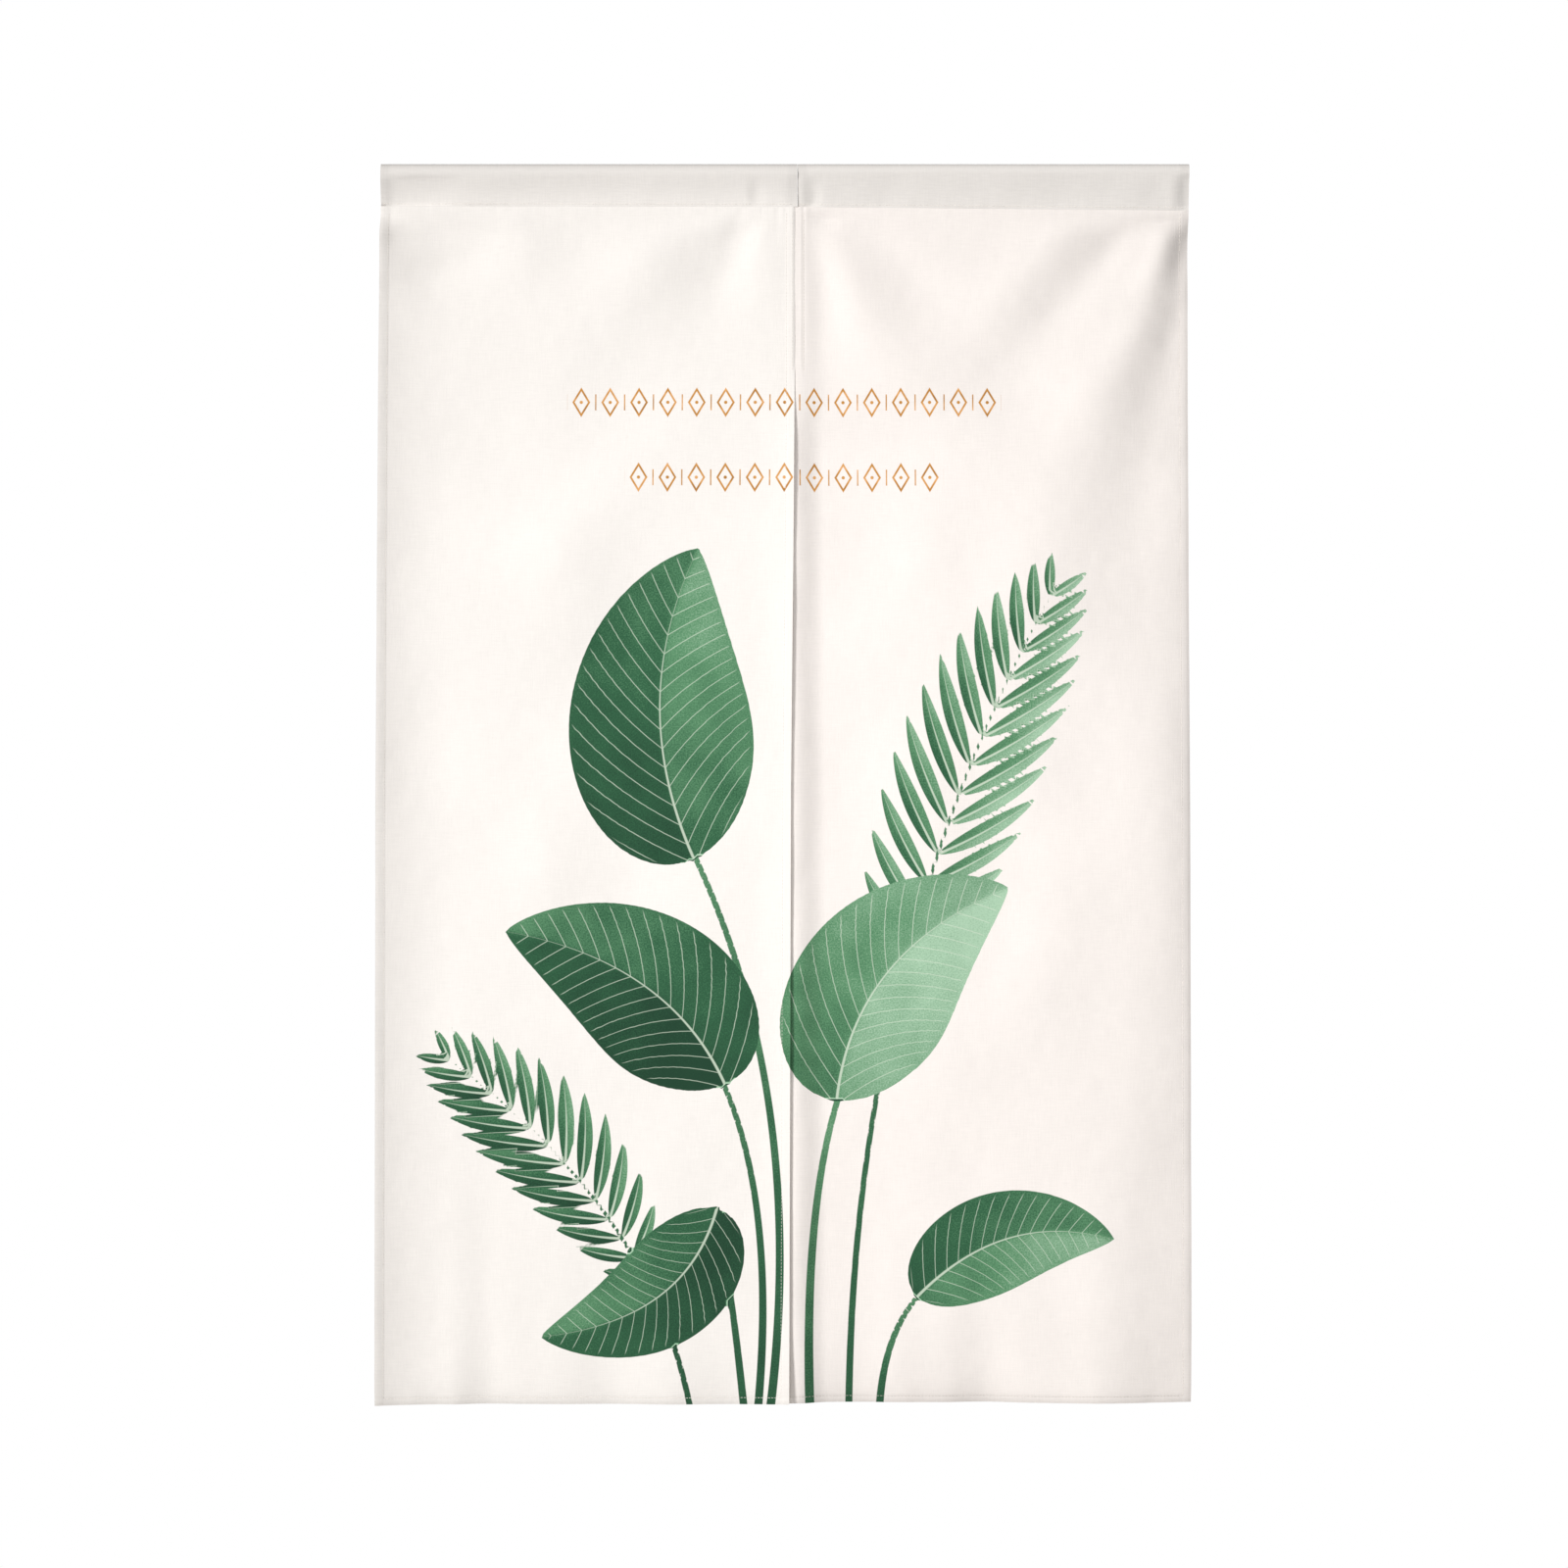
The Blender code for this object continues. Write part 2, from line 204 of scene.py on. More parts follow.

# %% [markdown]
# ## The folds
#
# Nothing shapes this cloth but its own weight and the way it was pressed, so its folds are few, broad
# and uneven. A cloth simulation would give other folds than the picture's. Each one here is placed as
# a soft ridge (above 0) or trough (below 0) along a straight line. It widens along the line, its
# height has a value at its start, its middle and its end, and where folds cross they add up.

# %% The folds of the left panel
Fold = namedtuple(
    "Fold", "start_x start_drop end_x end_drop start_width end_width start_height middle_height end_height"
)
LEFT_FOLDS = (
    # From the top of the seam between the panels, down and outwards.
    Fold(-28, 44, -98, 184, 10, 40, -2.6, -3.8, 0.0),
    Fold(-66, 44, -200, 150, 14, 44, 1.6, 3.4, 1.4),
    # Below the upper outer corner.
    Fold(-392, 42, -386, 120, 12, 16, 2.4, 1.2, 0.0),
    Fold(-344, 104, -258, 56, 26, 30, -3.2, -3.6, -1.0),
    # The broad slanting folds of the middle.
    Fold(-128, 280, -312, 460, 34, 52, 0.0, 5.4, 0.0),
    Fold(-62, 368, -230, 550, 34, 52, 0.0, -4.8, 0.0),
    Fold(-236, 590, -226, 780, 28, 36, 0.0, 3.4, 0.0),
    Fold(-164, 620, -136, 780, 28, 38, 0.0, -2.6, 0.0),
    Fold(-300, 760, -318, 960, 28, 36, 0.0, 2.4, 0.0),
    # The upright flutes above the hem.
    Fold(-318, 940, -320, 1200, 12, 17, 0.0, 0.9, 2.6),
    Fold(-289, 960, -288, 1200, 12, 19, 0.0, -1.0, -2.8),
    Fold(-216, 900, -212, 1200, 18, 28, 0.0, 1.2, 2.8),
    Fold(-174, 1000, -172, 1200, 15, 22, 0.0, -0.7, -2.0),
    Fold(-108, 880, -112, 1200, 26, 36, 0.0, 1.2, 2.4),
)
print(len(LEFT_FOLDS), "folds in the left panel")

# %% The folds of the right panel
RIGHT_FOLDS = (
    # From the top of the seam between the panels, down and outwards.
    Fold(27, 48, 134, 250, 10, 40, 1.6, 4.0, 1.2),
    Fold(60, 44, 198, 184, 13, 38, -2.0, -4.0, -1.4),
    # From the upper outer corner, down and inwards, the sharpest folds of the curtain.
    Fold(288, 44, 152, 200, 16, 42, 1.6, 3.8, 1.0),
    Fold(342, 46, 186, 240, 13, 40, -2.8, -4.6, 0.0),
    Fold(378, 44, 333, 170, 8, 22, 2.6, 3.6, 0.0),
    Fold(333, 170, 252, 296, 22, 44, 3.6, 3.8, 0.0),
    Fold(252, 296, 228, 540, 44, 62, 3.0, 4.4, 0.0),
    Fold(396, 42, 378, 150, 8, 18, -3.6, -4.8, 0.0),
    Fold(378, 150, 346, 310, 18, 40, -4.8, -5.0, 0.0),
    Fold(346, 310, 336, 560, 40, 60, -4.4, -5.0, 0.0),
    # The broad slanting folds of the middle.
    Fold(118, 300, 160, 470, 28, 44, 0.0, 2.4, 0.0),
    Fold(196, 560, 226, 760, 38, 50, 0.0, -3.0, 0.0),
    Fold(262, 690, 218, 900, 38, 50, 0.0, 3.2, 0.0),
    Fold(146, 880, 204, 1070, 32, 44, 0.0, -2.8, 0.0),
    # The upright flutes beside the outer edge and above the hem.
    Fold(372, 720, 370, 1200, 26, 34, 0.0, -2.8, -3.4),
    Fold(104, 1000, 108, 1200, 16, 28, 0.0, 2.0, 5.4),
    Fold(186, 1020, 196, 1200, 22, 34, 0.0, -2.6, -7.0),
    Fold(296, 940, 312, 1200, 24, 36, 0.0, 2.0, 4.4),
)
print(len(RIGHT_FOLDS), "folds in the right panel")

# %% [markdown]
# ## How a panel hangs
#
# A panel is measured across from its outer edge, so one formula serves both. The folds add up, and
# the pocket's seam and the lap hold them flat. The right panel's outer edge curls to the back and the
# left one's to the front. Beside the open slit the left panel comes forward a little, and the right
# one falls back where it comes out from behind it. Halfway down, both panels sway a little forward,
# and a short table moves the lap's edge to the right where the photo shows it.

# %% The two panels
Side = namedtuple(
    "Side",
    "name outward edge_x spread_column folds front_y side_curl hem_curl hem_curl_height edge_turn hem_turn",
)
LEFT = Side(
    name="left",
    outward=-1,
    edge_x=-390.6 * MM,
    spread_column="left_outward",
    folds=LEFT_FOLDS,
    front_y=-POCKET_SEAM_THICKNESS / 2,
    side_curl=-11.0 * MM,
    hem_curl=3.0 * MM,
    hem_curl_height=45.0 * MM,
    edge_turn=-1.2 * MM,
    hem_turn=0.8 * MM,
)
RIGHT = Side(
    name="right",
    outward=1,
    edge_x=390.5 * MM,
    spread_column="right_outward",
    folds=RIGHT_FOLDS,
    front_y=1.4 * MM,
    side_curl=5.0 * MM,
    hem_curl=7.0 * MM,
    hem_curl_height=100.0 * MM,
    edge_turn=3.0 * MM,
    hem_turn=1.6 * MM,
)


def smooth(value):
    """0 below 0, 1 above 1, and a smooth step between."""
    share = np.clip(value, 0.0, 1.0)
    return share * share * (3 - 2 * share)


def fold_lift(folds, x, drop):
    """How far the folds lift the cloth towards the viewer."""
    lift = np.zeros_like(x)
    for fold in folds:
        start = np.array((fold.start_x, fold.start_drop)) * MM
        run = np.array((fold.end_x, fold.end_drop)) * MM - start
        right, down = x - start[0], drop - start[1]
        along = np.clip((right * run[0] + down * run[1]) / run.dot(run), 0.0, 1.0)
        width = (fold.start_width + (fold.end_width - fold.start_width) * along) * MM
        distance = np.hypot(right - run[0] * along, down - run[1] * along)
        heights = (fold.start_height, fold.middle_height, fold.end_height)
        height = np.interp(along, (0.0, 0.5, 1.0), heights)
        lift += height * MM * np.exp(-((distance / width) ** 2))
    return lift


def curled(distance, depth, width):
    """How far an edge has curled back, at a distance from it."""
    return depth * (1 - np.minimum(distance / width, 1.0)) ** 2


def parting(side, across, drop):
    """How far back a panel is moved beside the open slit."""
    opened = smooth((drop - SLIT_TOP_DROP) / SLIT_OPENS_OVER)
    if side is LEFT:
        return curled(PANEL_WIDTH - across, -SLIT_LIFT, SLIT_LIFT_WIDTH) * opened
    from_lap = PANEL_WIDTH - LAP_WIDTH - across
    near = smooth((from_lap + SETBACK_UNDER_LAP) / SLIT_SETBACK_NEAR)
    far = 1 - smooth((from_lap - SETBACK_STAYS) / SETBACK_RETURN)
    return SLIT_SETBACK * opened * near * far


def panel_x(side, across, drop):
    outwards = table_value(SPREAD, "drop", side.spread_column, drop) - across
    x = side.edge_x + side.outward * outwards
    if side is LEFT:
        near_lap = smooth(1 - (PANEL_WIDTH - across) / LAP_EASE)
        x = x + table_value(STRAIGHT_LAP, "drop", "rightward", drop) * near_lap
    return x


def free_of_lap(across):
    return smooth((PANEL_WIDTH - LAP_WIDTH - across) / LAP_STIFFNESS_WIDTH)


def free_of_pocket(x, drop):
    return smooth((drop - pocket_seam_drop(x) - FLAT_BELOW_POCKET) / FOLDS_START_OVER)


def panel_y(side, across, x, drop):
    sway = SWAY * np.sin(math.pi * drop / CURTAIN_DROP)
    lifted = fold_lift(side.folds, x, drop) * free_of_lap(across) + sway
    back = curled(across, side.side_curl, SIDE_CURL_WIDTH)
    back = back + curled(CURTAIN_DROP - drop, side.hem_curl, side.hem_curl_height)
    return side.front_y + (back - lifted) * free_of_pocket(x, drop) + parting(side, across, drop)


# %% [markdown]
# ## The fine surface of the cloth
#
# From close by, pressed linen is never smooth. Each row of stitches draws the cloth into small
# puckers, a hem presses through as a faint ridge with a groove where it is sewn, and the whole sheet
# is a little uneven. Sums of waves with unlike lengths give all of that without a picture. Creases
# that the long folds leave out are listed: near the corners, the seam and the hem.

# %% Small creases
SMALL_CREASES = {
    "left": (
        # Below the upper outer corner.
        Fold(-374, 68, -312, 63, 13, 14, -2.2, -2.2, -0.4),
        Fold(-396, 96, -396, 190, 30, 34, -3.0, -3.2, 0.0),
        Fold(-262, 60, -226, 96, 16, 20, 1.2, 1.0, 0.0),
        # Beside the seam between the panels.
        Fold(-44, 46, -60, 96, 7, 12, -0.8, -1.0, 0.0),
        # Softer flutes above the hem.
        Fold(-319, 1000, -320, 1200, 12, 17, 0.0, -0.5, -1.2),
        Fold(-216, 960, -212, 1200, 18, 28, 0.0, -0.8, -1.9),
        Fold(-174, 1040, -172, 1200, 15, 22, 0.0, 0.3, 1.0),
        # The hem turns back.
        Fold(-330, 1212, -60, 1212, 22, 22, -2.0, -2.6, -2.0),
    ),
    "right": (
        # A trough along the seam between the panels.
        Fold(36, 56, 40, 215, 18, 22, -2.0, -2.4, -1.6),
        # Below the upper outer corner, and down the outer edge.
        Fold(256, 94, 372, 90, 24, 24, -1.0, -2.6, -2.0),
        Fold(396, 70, 392, 420, 80, 90, -2.4, -3.6, -2.0),
        # Above the hem, between the slit and the broad flute.
        Fold(100, 960, 112, 1210, 40, 46, 0.0, -3.0, -6.5),
        Fold(318, 1100, 322, 1200, 24, 30, 0.0, -0.8, -2.0),
        # The hem turns back, most beside the slit.
        Fold(30, 1216, 190, 1216, 30, 30, -4.0, -4.4, -3.4),
        Fold(190, 1216, 300, 1214, 26, 20, -3.4, -2.6, 0.0),
    ),
}


# %% The fine surface
HEM_STITCH_INSET = 8.0 * MM
BOTTOM_STITCH_INSET = 6.6 * MM
PUCKER_WAVES = (17.0 * MM, 11.3 * MM, 7.9 * MM)
HEM_WAVES = (61.0 * MM, 37.0 * MM, 23.0 * MM)
POCKET_PUCKER, HEM_PUCKER, SLIT_PUCKER = 0.34 * MM, 0.16 * MM, 0.22 * MM
PRESSED_EDGE, STITCH_GROOVE, GROOVE_WIDTH = 0.22 * MM, 0.20 * MM, 1.1 * MM
EDGE_ROLL, EDGE_ROLL_WIDTH = 0.4 * MM, 2.8 * MM
SEWN_ROLL, SEWN_ROLL_WIDTH = 0.75 * MM, 2.0 * MM
SEAM_RISE, SEAM_RISE_WIDTH = 0.15 * MM, 15.0 * MM
LAP_CLOSENESS, SEWN_CLOSENESS, CLOSENESS_WIDTH = 1.4 * MM, 0.2 * MM, 26.0 * MM
HEM_TURN_HEIGHT, EDGE_TURN_WIDTH, EDGE_TURN_OVER = 16.0 * MM, 36.0 * MM, 60.0 * MM
CREASES_START_OVER, SLIT_PUCKER_WIDTH = 12.0 * MM, 11 * MM
UNEVENNESS = (
    # How many waves, their shortest and longest length, and the height of each.
    (18, 80 * MM, 240 * MM, 0.16 * MM),
    (26, 14 * MM, 42 * MM, 0.018 * MM),
)
WELT_X, SECOND_SEAM_X = 15.6 * MM, 18.0 * MM
WELT_HEIGHT, GROOVE_DEPTH, WELT_WIDTH = 0.22 * MM, 0.30 * MM, 1.4 * MM


def waves(place, lengths, phase=0.0):
    """An uneven ripple along a line, from -1 to 1."""
    total = sum(np.sin(math.tau * place / one + phase * (i + 1)) for i, one in enumerate(lengths))
    return total / len(lengths)


def plane_waves(x, drop, seed=3):
    """The gentle unevenness of the whole sheet."""
    random = np.random.default_rng(seed)
    lift = np.zeros_like(x)
    for count, shortest, longest, height in UNEVENNESS:
        for _ in range(count):
            angle = random.uniform(0, math.tau)
            length = random.uniform(shortest, longest)
            phase = random.uniform(0, math.tau)
            place = x * math.cos(angle) + drop * math.sin(angle)
            lift += height * np.sin(math.tau * place / length + phase)
    return lift


def fine_lift(side, across, x, drop):
    below = drop - pocket_seam_drop(x)
    from_hem = CURTAIN_DROP - drop
    inner = PANEL_WIDTH - across
    lift = POCKET_PUCKER * waves(x, PUCKER_WAVES, 1.3) * np.exp(-below / (13 * MM)) * smooth(below / (3 * MM))
    lift += HEM_PUCKER * waves(x, HEM_WAVES, 0.4) * np.exp(-from_hem / (16 * MM))
    for edge, phase in ((across, 0.9), (inner, 2.1)):
        lift += HEM_PUCKER * waves(drop, HEM_WAVES, phase) * np.exp(-edge / (14 * MM))
        lift += PRESSED_EDGE * smooth((SIDE_HEM - edge) / (1.6 * MM))
        lift -= STITCH_GROOVE * np.exp(-(((edge - HEM_STITCH_INSET) / GROOVE_WIDTH) ** 2))
    lift += PRESSED_EDGE * smooth((BOTTOM_HEM - from_hem) / (1.6 * MM))
    lift -= STITCH_GROOVE * np.exp(-(((from_hem - BOTTOM_STITCH_INSET) / GROOVE_WIDTH) ** 2))
    sewn = 1 - smooth((drop - SLIT_TOP_DROP + 8 * MM) / (12 * MM))
    for edge in (across, from_hem):
        lift -= EDGE_ROLL * (1 - smooth(edge / EDGE_ROLL_WIDTH))
    lift -= curled(from_hem, side.hem_turn, HEM_TURN_HEIGHT)
    lift -= curled(across, side.edge_turn, EDGE_TURN_WIDTH) * smooth(below / EDGE_TURN_OVER)
    creases = fold_lift(SMALL_CREASES[side.name], x, drop)
    lift += creases * free_of_lap(across) * smooth(below / CREASES_START_OVER)
    if side is RIGHT:
        close = smooth((LAP_WIDTH + CLOSENESS_WIDTH - inner) / CLOSENESS_WIDTH)
        lift += close * (LAP_CLOSENESS + SEWN_CLOSENESS * sewn)
        welt = np.exp(-(((x - WELT_X) / WELT_WIDTH) ** 2))
        groove = np.exp(-(((x - SECOND_SEAM_X) / WELT_WIDTH) ** 2))
        lift += sewn * (WELT_HEIGHT * welt - GROOVE_DEPTH * groove)
        beside_seam = np.exp(-np.abs(x - SECOND_SEAM_X) / SLIT_PUCKER_WIDTH)
        lift += sewn * SLIT_PUCKER * waves(drop, PUCKER_WAVES, 0.7) * beside_seam
    else:
        lift += sewn * SLIT_PUCKER * waves(drop, PUCKER_WAVES, 0.7) * np.exp(-inner / (13 * MM))
        lift += sewn * SEAM_RISE * (1 - smooth(inner / SEAM_RISE_WIDTH))
        lift -= sewn * SEWN_ROLL * (1 - smooth(inner / SEWN_ROLL_WIDTH))
    calm = smooth(inner / (30 * MM)) * smooth(below / (24 * MM))
    return lift + calm * plane_waves(x, drop)


def panel_surface(side, across, drop):
    """Points of a panel's front face."""
    x = panel_x(side, across, drop)
    y = panel_y(side, across, x, drop) - fine_lift(side, across, x, drop)
    return np.stack((x, y, -drop), axis=-1)


corner = panel_surface(LEFT, np.array([0.0]), np.array([CURTAIN_DROP]))[0]
print("the lower left corner is at", [round(float(value) / MM, 1) for value in corner], "mm")

# %% [markdown]
# ## A sheet of cloth
#
# A grid is the natural mesh for a woven sheet: its lines run with the threads. The operator makes it
# flat, one formula puts all its points in their places at once, and Solidify gives it its thickness.
# Its lines are closer together at the hems, where the surface changes fastest. The sheet keeps its
# flat measures, across and down, as its UV map, so that the weave follows the cloth wherever it bends.
# An edge is the cloth's fold, so it is thinner than the hem and rolls to the back.
#
# One fault is left here. Each cloth has a second material for its back, on which a print shows only
# faintly, but the thickness is applied before the cloth has any material. So the back keeps the first.

# %% Making a sheet
ROUNDED_EDGE_SHARE, CRISP_ANGLE_DEG = 0.10, 50
EDGE_STEP, INNER_STEP, EDGE_REACH, LAP_REACH = 1.0 * MM, 4.0 * MM, 13.0 * MM, 34.0 * MM


def fine_steps(length, start_reach, end_reach):
    """Places along a side of the cloth, closer together near both ends."""
    inner_count = round((length - start_reach - end_reach) / INNER_STEP)
    start_count, end_count = round(start_reach / EDGE_STEP), round(end_reach / EDGE_STEP)
    return np.concatenate(
        (
            np.linspace(0, start_reach, start_count, endpoint=False),
            np.linspace(start_reach, length - end_reach, inner_count, endpoint=False),
            np.linspace(length - end_reach, length, end_count + 1),
        )
    )


def flat_grid(name, column_count, row_count):
    """A mesh grid, with each of its points' column and row, counted from the upper left."""
    bm = bmesh.new()
    bmesh.ops.create_grid(bm, x_segments=column_count - 1, y_segments=row_count - 1, size=0.5)
    mesh = bpy.data.meshes.new(name)
    bm.to_mesh(mesh)
    bm.free()
    places = np.empty(len(mesh.vertices) * 3)
    mesh.vertices.foreach_get("co", places)
    places = places.reshape(-1, 3)
    columns = np.rint((places[:, 0] + 0.5) * (column_count - 1)).astype(int)
    rows = np.rint((0.5 - places[:, 1]) * (row_count - 1)).astype(int)
    return mesh, columns, rows


def set_cloth_map(mesh, across, down):
    loops = np.empty(len(mesh.loops), dtype=int)
    mesh.loops.foreach_get("vertex_index", loops)
    cloth_map = mesh.uv_layers.new(name="cloth")
    cloth_map.data.foreach_set("uv", np.stack((across, down), axis=-1)[loops].ravel())


def thicken(cloth, hem_points, edge_points):
    """Gives a sheet its thickness behind its front face, and more where it is turned and doubled.

    The edges of the cloth must stay crisp, or its cut side would be shaded as part of its front, and
    they are only there once the modifier is applied.
    """
    hem = cloth.vertex_groups.new(name="hem")
    hem.add([int(point) for point in hem_points], 1.0, "REPLACE")
    hem.add([int(point) for point in edge_points], ROUNDED_EDGE_SHARE, "REPLACE")
    solid = cloth.modifiers.new("thickness", "SOLIDIFY")
    solid.thickness = HEM_THICKNESS
    solid.offset = -1
    solid.vertex_group = hem.name
    solid.thickness_vertex_group = CLOTH_THICKNESS / HEM_THICKNESS
    solid.material_offset = 1
    sheet = cloth.data
    cloth.data = bpy.data.meshes.new_from_object(cloth.evaluated_get(bpy.context.evaluated_depsgraph_get()))
    cloth.modifiers.clear()
    bpy.data.meshes.remove(sheet)
    cloth.data.set_sharp_from_angle(angle=math.radians(CRISP_ANGLE_DEG))
    cloth.data.name = cloth.name


def paint_shade(mesh, layers):
    """Writes the painted shade that darkens doubled hems and the heading, where less light shines through."""
    mesh.attributes.new("layers", "FLOAT", "POINT").data.foreach_set("value", layers.astype(float))


def place_points(mesh, points):
    mesh.vertices.foreach_set("co", points.ravel())
    mesh.update()


def add_object(name, mesh):
    mesh.shade_smooth()
    made = bpy.data.objects.new(name, mesh)
    bpy.context.scene.collection.objects.link(made)
    return made


def make_panel_cloth(side):
    fall = CURTAIN_DROP - POCKET_SEAM[0].drop * MM
    across_steps = fine_steps(PANEL_WIDTH, EDGE_REACH, LAP_REACH)
    row_shares = fine_steps(fall, EDGE_REACH, EDGE_REACH) / fall
    name = f"{side.name}_panel_cloth"
    mesh, columns, rows = flat_grid(name, len(across_steps), len(row_shares))
    across = across_steps[columns]
    top = pocket_seam_drop(panel_x(side, across, 0.0)) + 0.05 * MM
    drop = top + (CURTAIN_DROP - top) * row_shares[rows]
    place_points(mesh, panel_surface(side, across, drop))
    if side is RIGHT:
        mesh.flip_normals()
    set_cloth_map(mesh, side.edge_x - side.outward * across, -drop)
    cloth = add_object(name, mesh)
    from_side, from_bottom = np.minimum(across, PANEL_WIDTH - across), CURTAIN_DROP - drop
    in_hem = (from_side <= SIDE_HEM) | (from_bottom <= BOTTOM_HEM)
    at_edge = np.minimum(from_side, from_bottom) < EDGE_STEP / 2
    # Painted shade: the outer and bottom hems are painted darker, but not near the lap.
    paint_shade(mesh, in_hem & (PANEL_WIDTH - across > LAP_WIDTH))
    thicken(cloth, np.flatnonzero(in_hem), np.flatnonzero(at_edge))
    print(name, len(cloth.data.polygons), "faces")
    return cloth


left_cloth = make_panel_cloth(LEFT)
right_cloth = make_panel_cloth(RIGHT)

# %% [markdown]
# ## Is the cloth where its solid is?
#
# The finer sheet may stand off its solid only by its fine surface. A tree of the solid's faces finds
# the nearest one to each point, which measures that for the whole sheet.

# %% Measuring against the solids
depsgraph = bpy.context.evaluated_depsgraph_get()


def distance_to_solid(cloth, node):
    tree = BVHTree.FromObject(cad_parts[node], depsgraph)
    distances = [tree.find_nearest(vertex.co)[3] for vertex in cloth.data.vertices]
    mean, largest = np.mean(distances) / MM, np.max(distances) / MM
    print(f"{cloth.name} lies {mean:.2f} mm from {node} on average, {largest:.2f} mm at most")


distance_to_solid(left_cloth, "left_panel")
distance_to_solid(right_cloth, "right_panel")

# %% [markdown]
# ## The rod pockets
#
# Each pocket is a flattened tube: round where the rod lies, with straight walls drawn in to the seam.
# Its outline is worked out once, as two tangents and an arc, and extruded from end to end along the
# rod. The points are then moved a little, for the slack of cloth on a rod and the pull of its seam.

# %% The outline of a pocket
LEFT_POCKET_RADIUS, RIGHT_POCKET_RADIUS = 9.5 * MM, 8.1 * MM
ARC_STEPS, WALL_STEPS = 22, 14
POCKET_STEP = 3.6 * MM
JOG_AT_POCKET = 2.4 * MM


def tangent_angle(radius, y, z, turn):
    """Where a straight wall from (y, z) meets a circle about the origin."""
    return math.atan2(z, y) + turn * math.acos(radius / math.hypot(y, z))


def pocket_outline(radius, front_y, seam_drop):
    """Points (y, z) from the front of the seam, up over the rod, to the back of the seam."""
    seam_z = radius - seam_drop
    back_y = front_y + POCKET_SEAM_THICKNESS
    front_angle = tangent_angle(radius, front_y, seam_z, -1) % math.tau
    back_angle = tangent_angle(radius, back_y, seam_z, 1)
    arc = [
        (radius * math.cos(angle), radius * math.sin(angle))
        for angle in np.linspace(front_angle, back_angle, ARC_STEPS + 1)
    ]
    front = np.linspace((front_y, seam_z), arc[0], WALL_STEPS, endpoint=False)
    back = np.linspace(arc[-1], (back_y, seam_z), WALL_STEPS + 1)[1:]
    points = np.concatenate((front, arc, back))
    return points - (0, radius)


outline = pocket_outline(LEFT_POCKET_RADIUS, LEFT.front_y, 0.041)
print(f"{len(outline)} points go round a pocket that is {np.ptp(outline[:, 0]) / MM:.1f} mm deep")

# %% [markdown]
# The heading of the picture isn't quite even: the wall has soft upright dents, the right pocket is
# pinched beside the lap, and both ends are drawn in a little. These are soft spots, in a table.

# %% The dents of the pockets
# All in millimetres: where, how wide, how high, and how far towards the viewer.
Dent = namedtuple("Dent", "x drop width height lift")
LEFT_DENTS = (
    Dent(-391, 26, 8, 28, 3.0),
    Dent(-352, 30, 30, 24, -2.4),
    Dent(-300, 26, 30, 22, 0.7),
    Dent(-214, 30, 22, 20, -0.6),
    Dent(-120, 24, 30, 20, 0.5),
    Dent(-37, 27, 7, 13, 0.7),
    Dent(-28, 30, 6, 14, -1.0),
    Dent(6, 24, 5, 26, -0.4),
)
RIGHT_DENTS = (
    Dent(15.5, 24, 5, 28, 1.2),
    Dent(28.5, 34, 6, 17, -1.9),
    Dent(96, 30, 22, 20, -0.6),
    Dent(182, 26, 30, 20, 0.5),
    Dent(262, 30, 24, 20, -0.6),
    Dent(330, 28, 22, 18, 0.6),
    Dent(374, 30, 8, 20, 0.8),
    Dent(386, 26, 6, 24, -1.8),
)
SLACK_WAVES = (113 * MM, 71 * MM, 43 * MM)
POCKET_SLACK, SEAM_PULL = 0.35 * MM, 0.30 * MM
END_ROLL, END_ROLL_WIDTH = 0.7 * MM, 7.0 * MM


def dent_lift(dents, x, drop):
    lift = np.zeros_like(x)
    for dent in dents:
        right = (x - dent.x * MM) / (dent.width * MM)
        down = (drop - dent.drop * MM) / (dent.height * MM)
        lift += dent.lift * MM * np.exp(-(right**2) - down**2)
    return lift


print(len(LEFT_DENTS) + len(RIGHT_DENTS), "soft dents")

# %% Extruding the pockets
Pocket = namedtuple("Pocket", "name start_x end_x radius front_y dents light_at_seam")
LAP_X = LEFT.edge_x + PANEL_WIDTH + JOG_AT_POCKET
LEFT_POCKET = Pocket(
    name="left_pocket_cloth",
    start_x=LEFT.edge_x,
    end_x=LAP_X,
    radius=LEFT_POCKET_RADIUS,
    front_y=LEFT.front_y,
    dents=LEFT_DENTS,
    light_at_seam=0.75,
)
RIGHT_POCKET = Pocket(
    name="right_pocket_cloth",
    start_x=LAP_X + 0.3 * MM,
    end_x=RIGHT.edge_x,
    radius=RIGHT_POCKET_RADIUS,
    front_y=RIGHT.front_y,
    dents=RIGHT_DENTS,
    light_at_seam=0.30,
)
# How dark the heading's painted shade is, and how far above its seam it eases; each pocket's light_at_seam is
# the share of it taken away at the seam.
POCKET_PAINTED_SHADE, SHADE_ENDS_ABOVE_SEAM = 2.6, 24.0 * MM


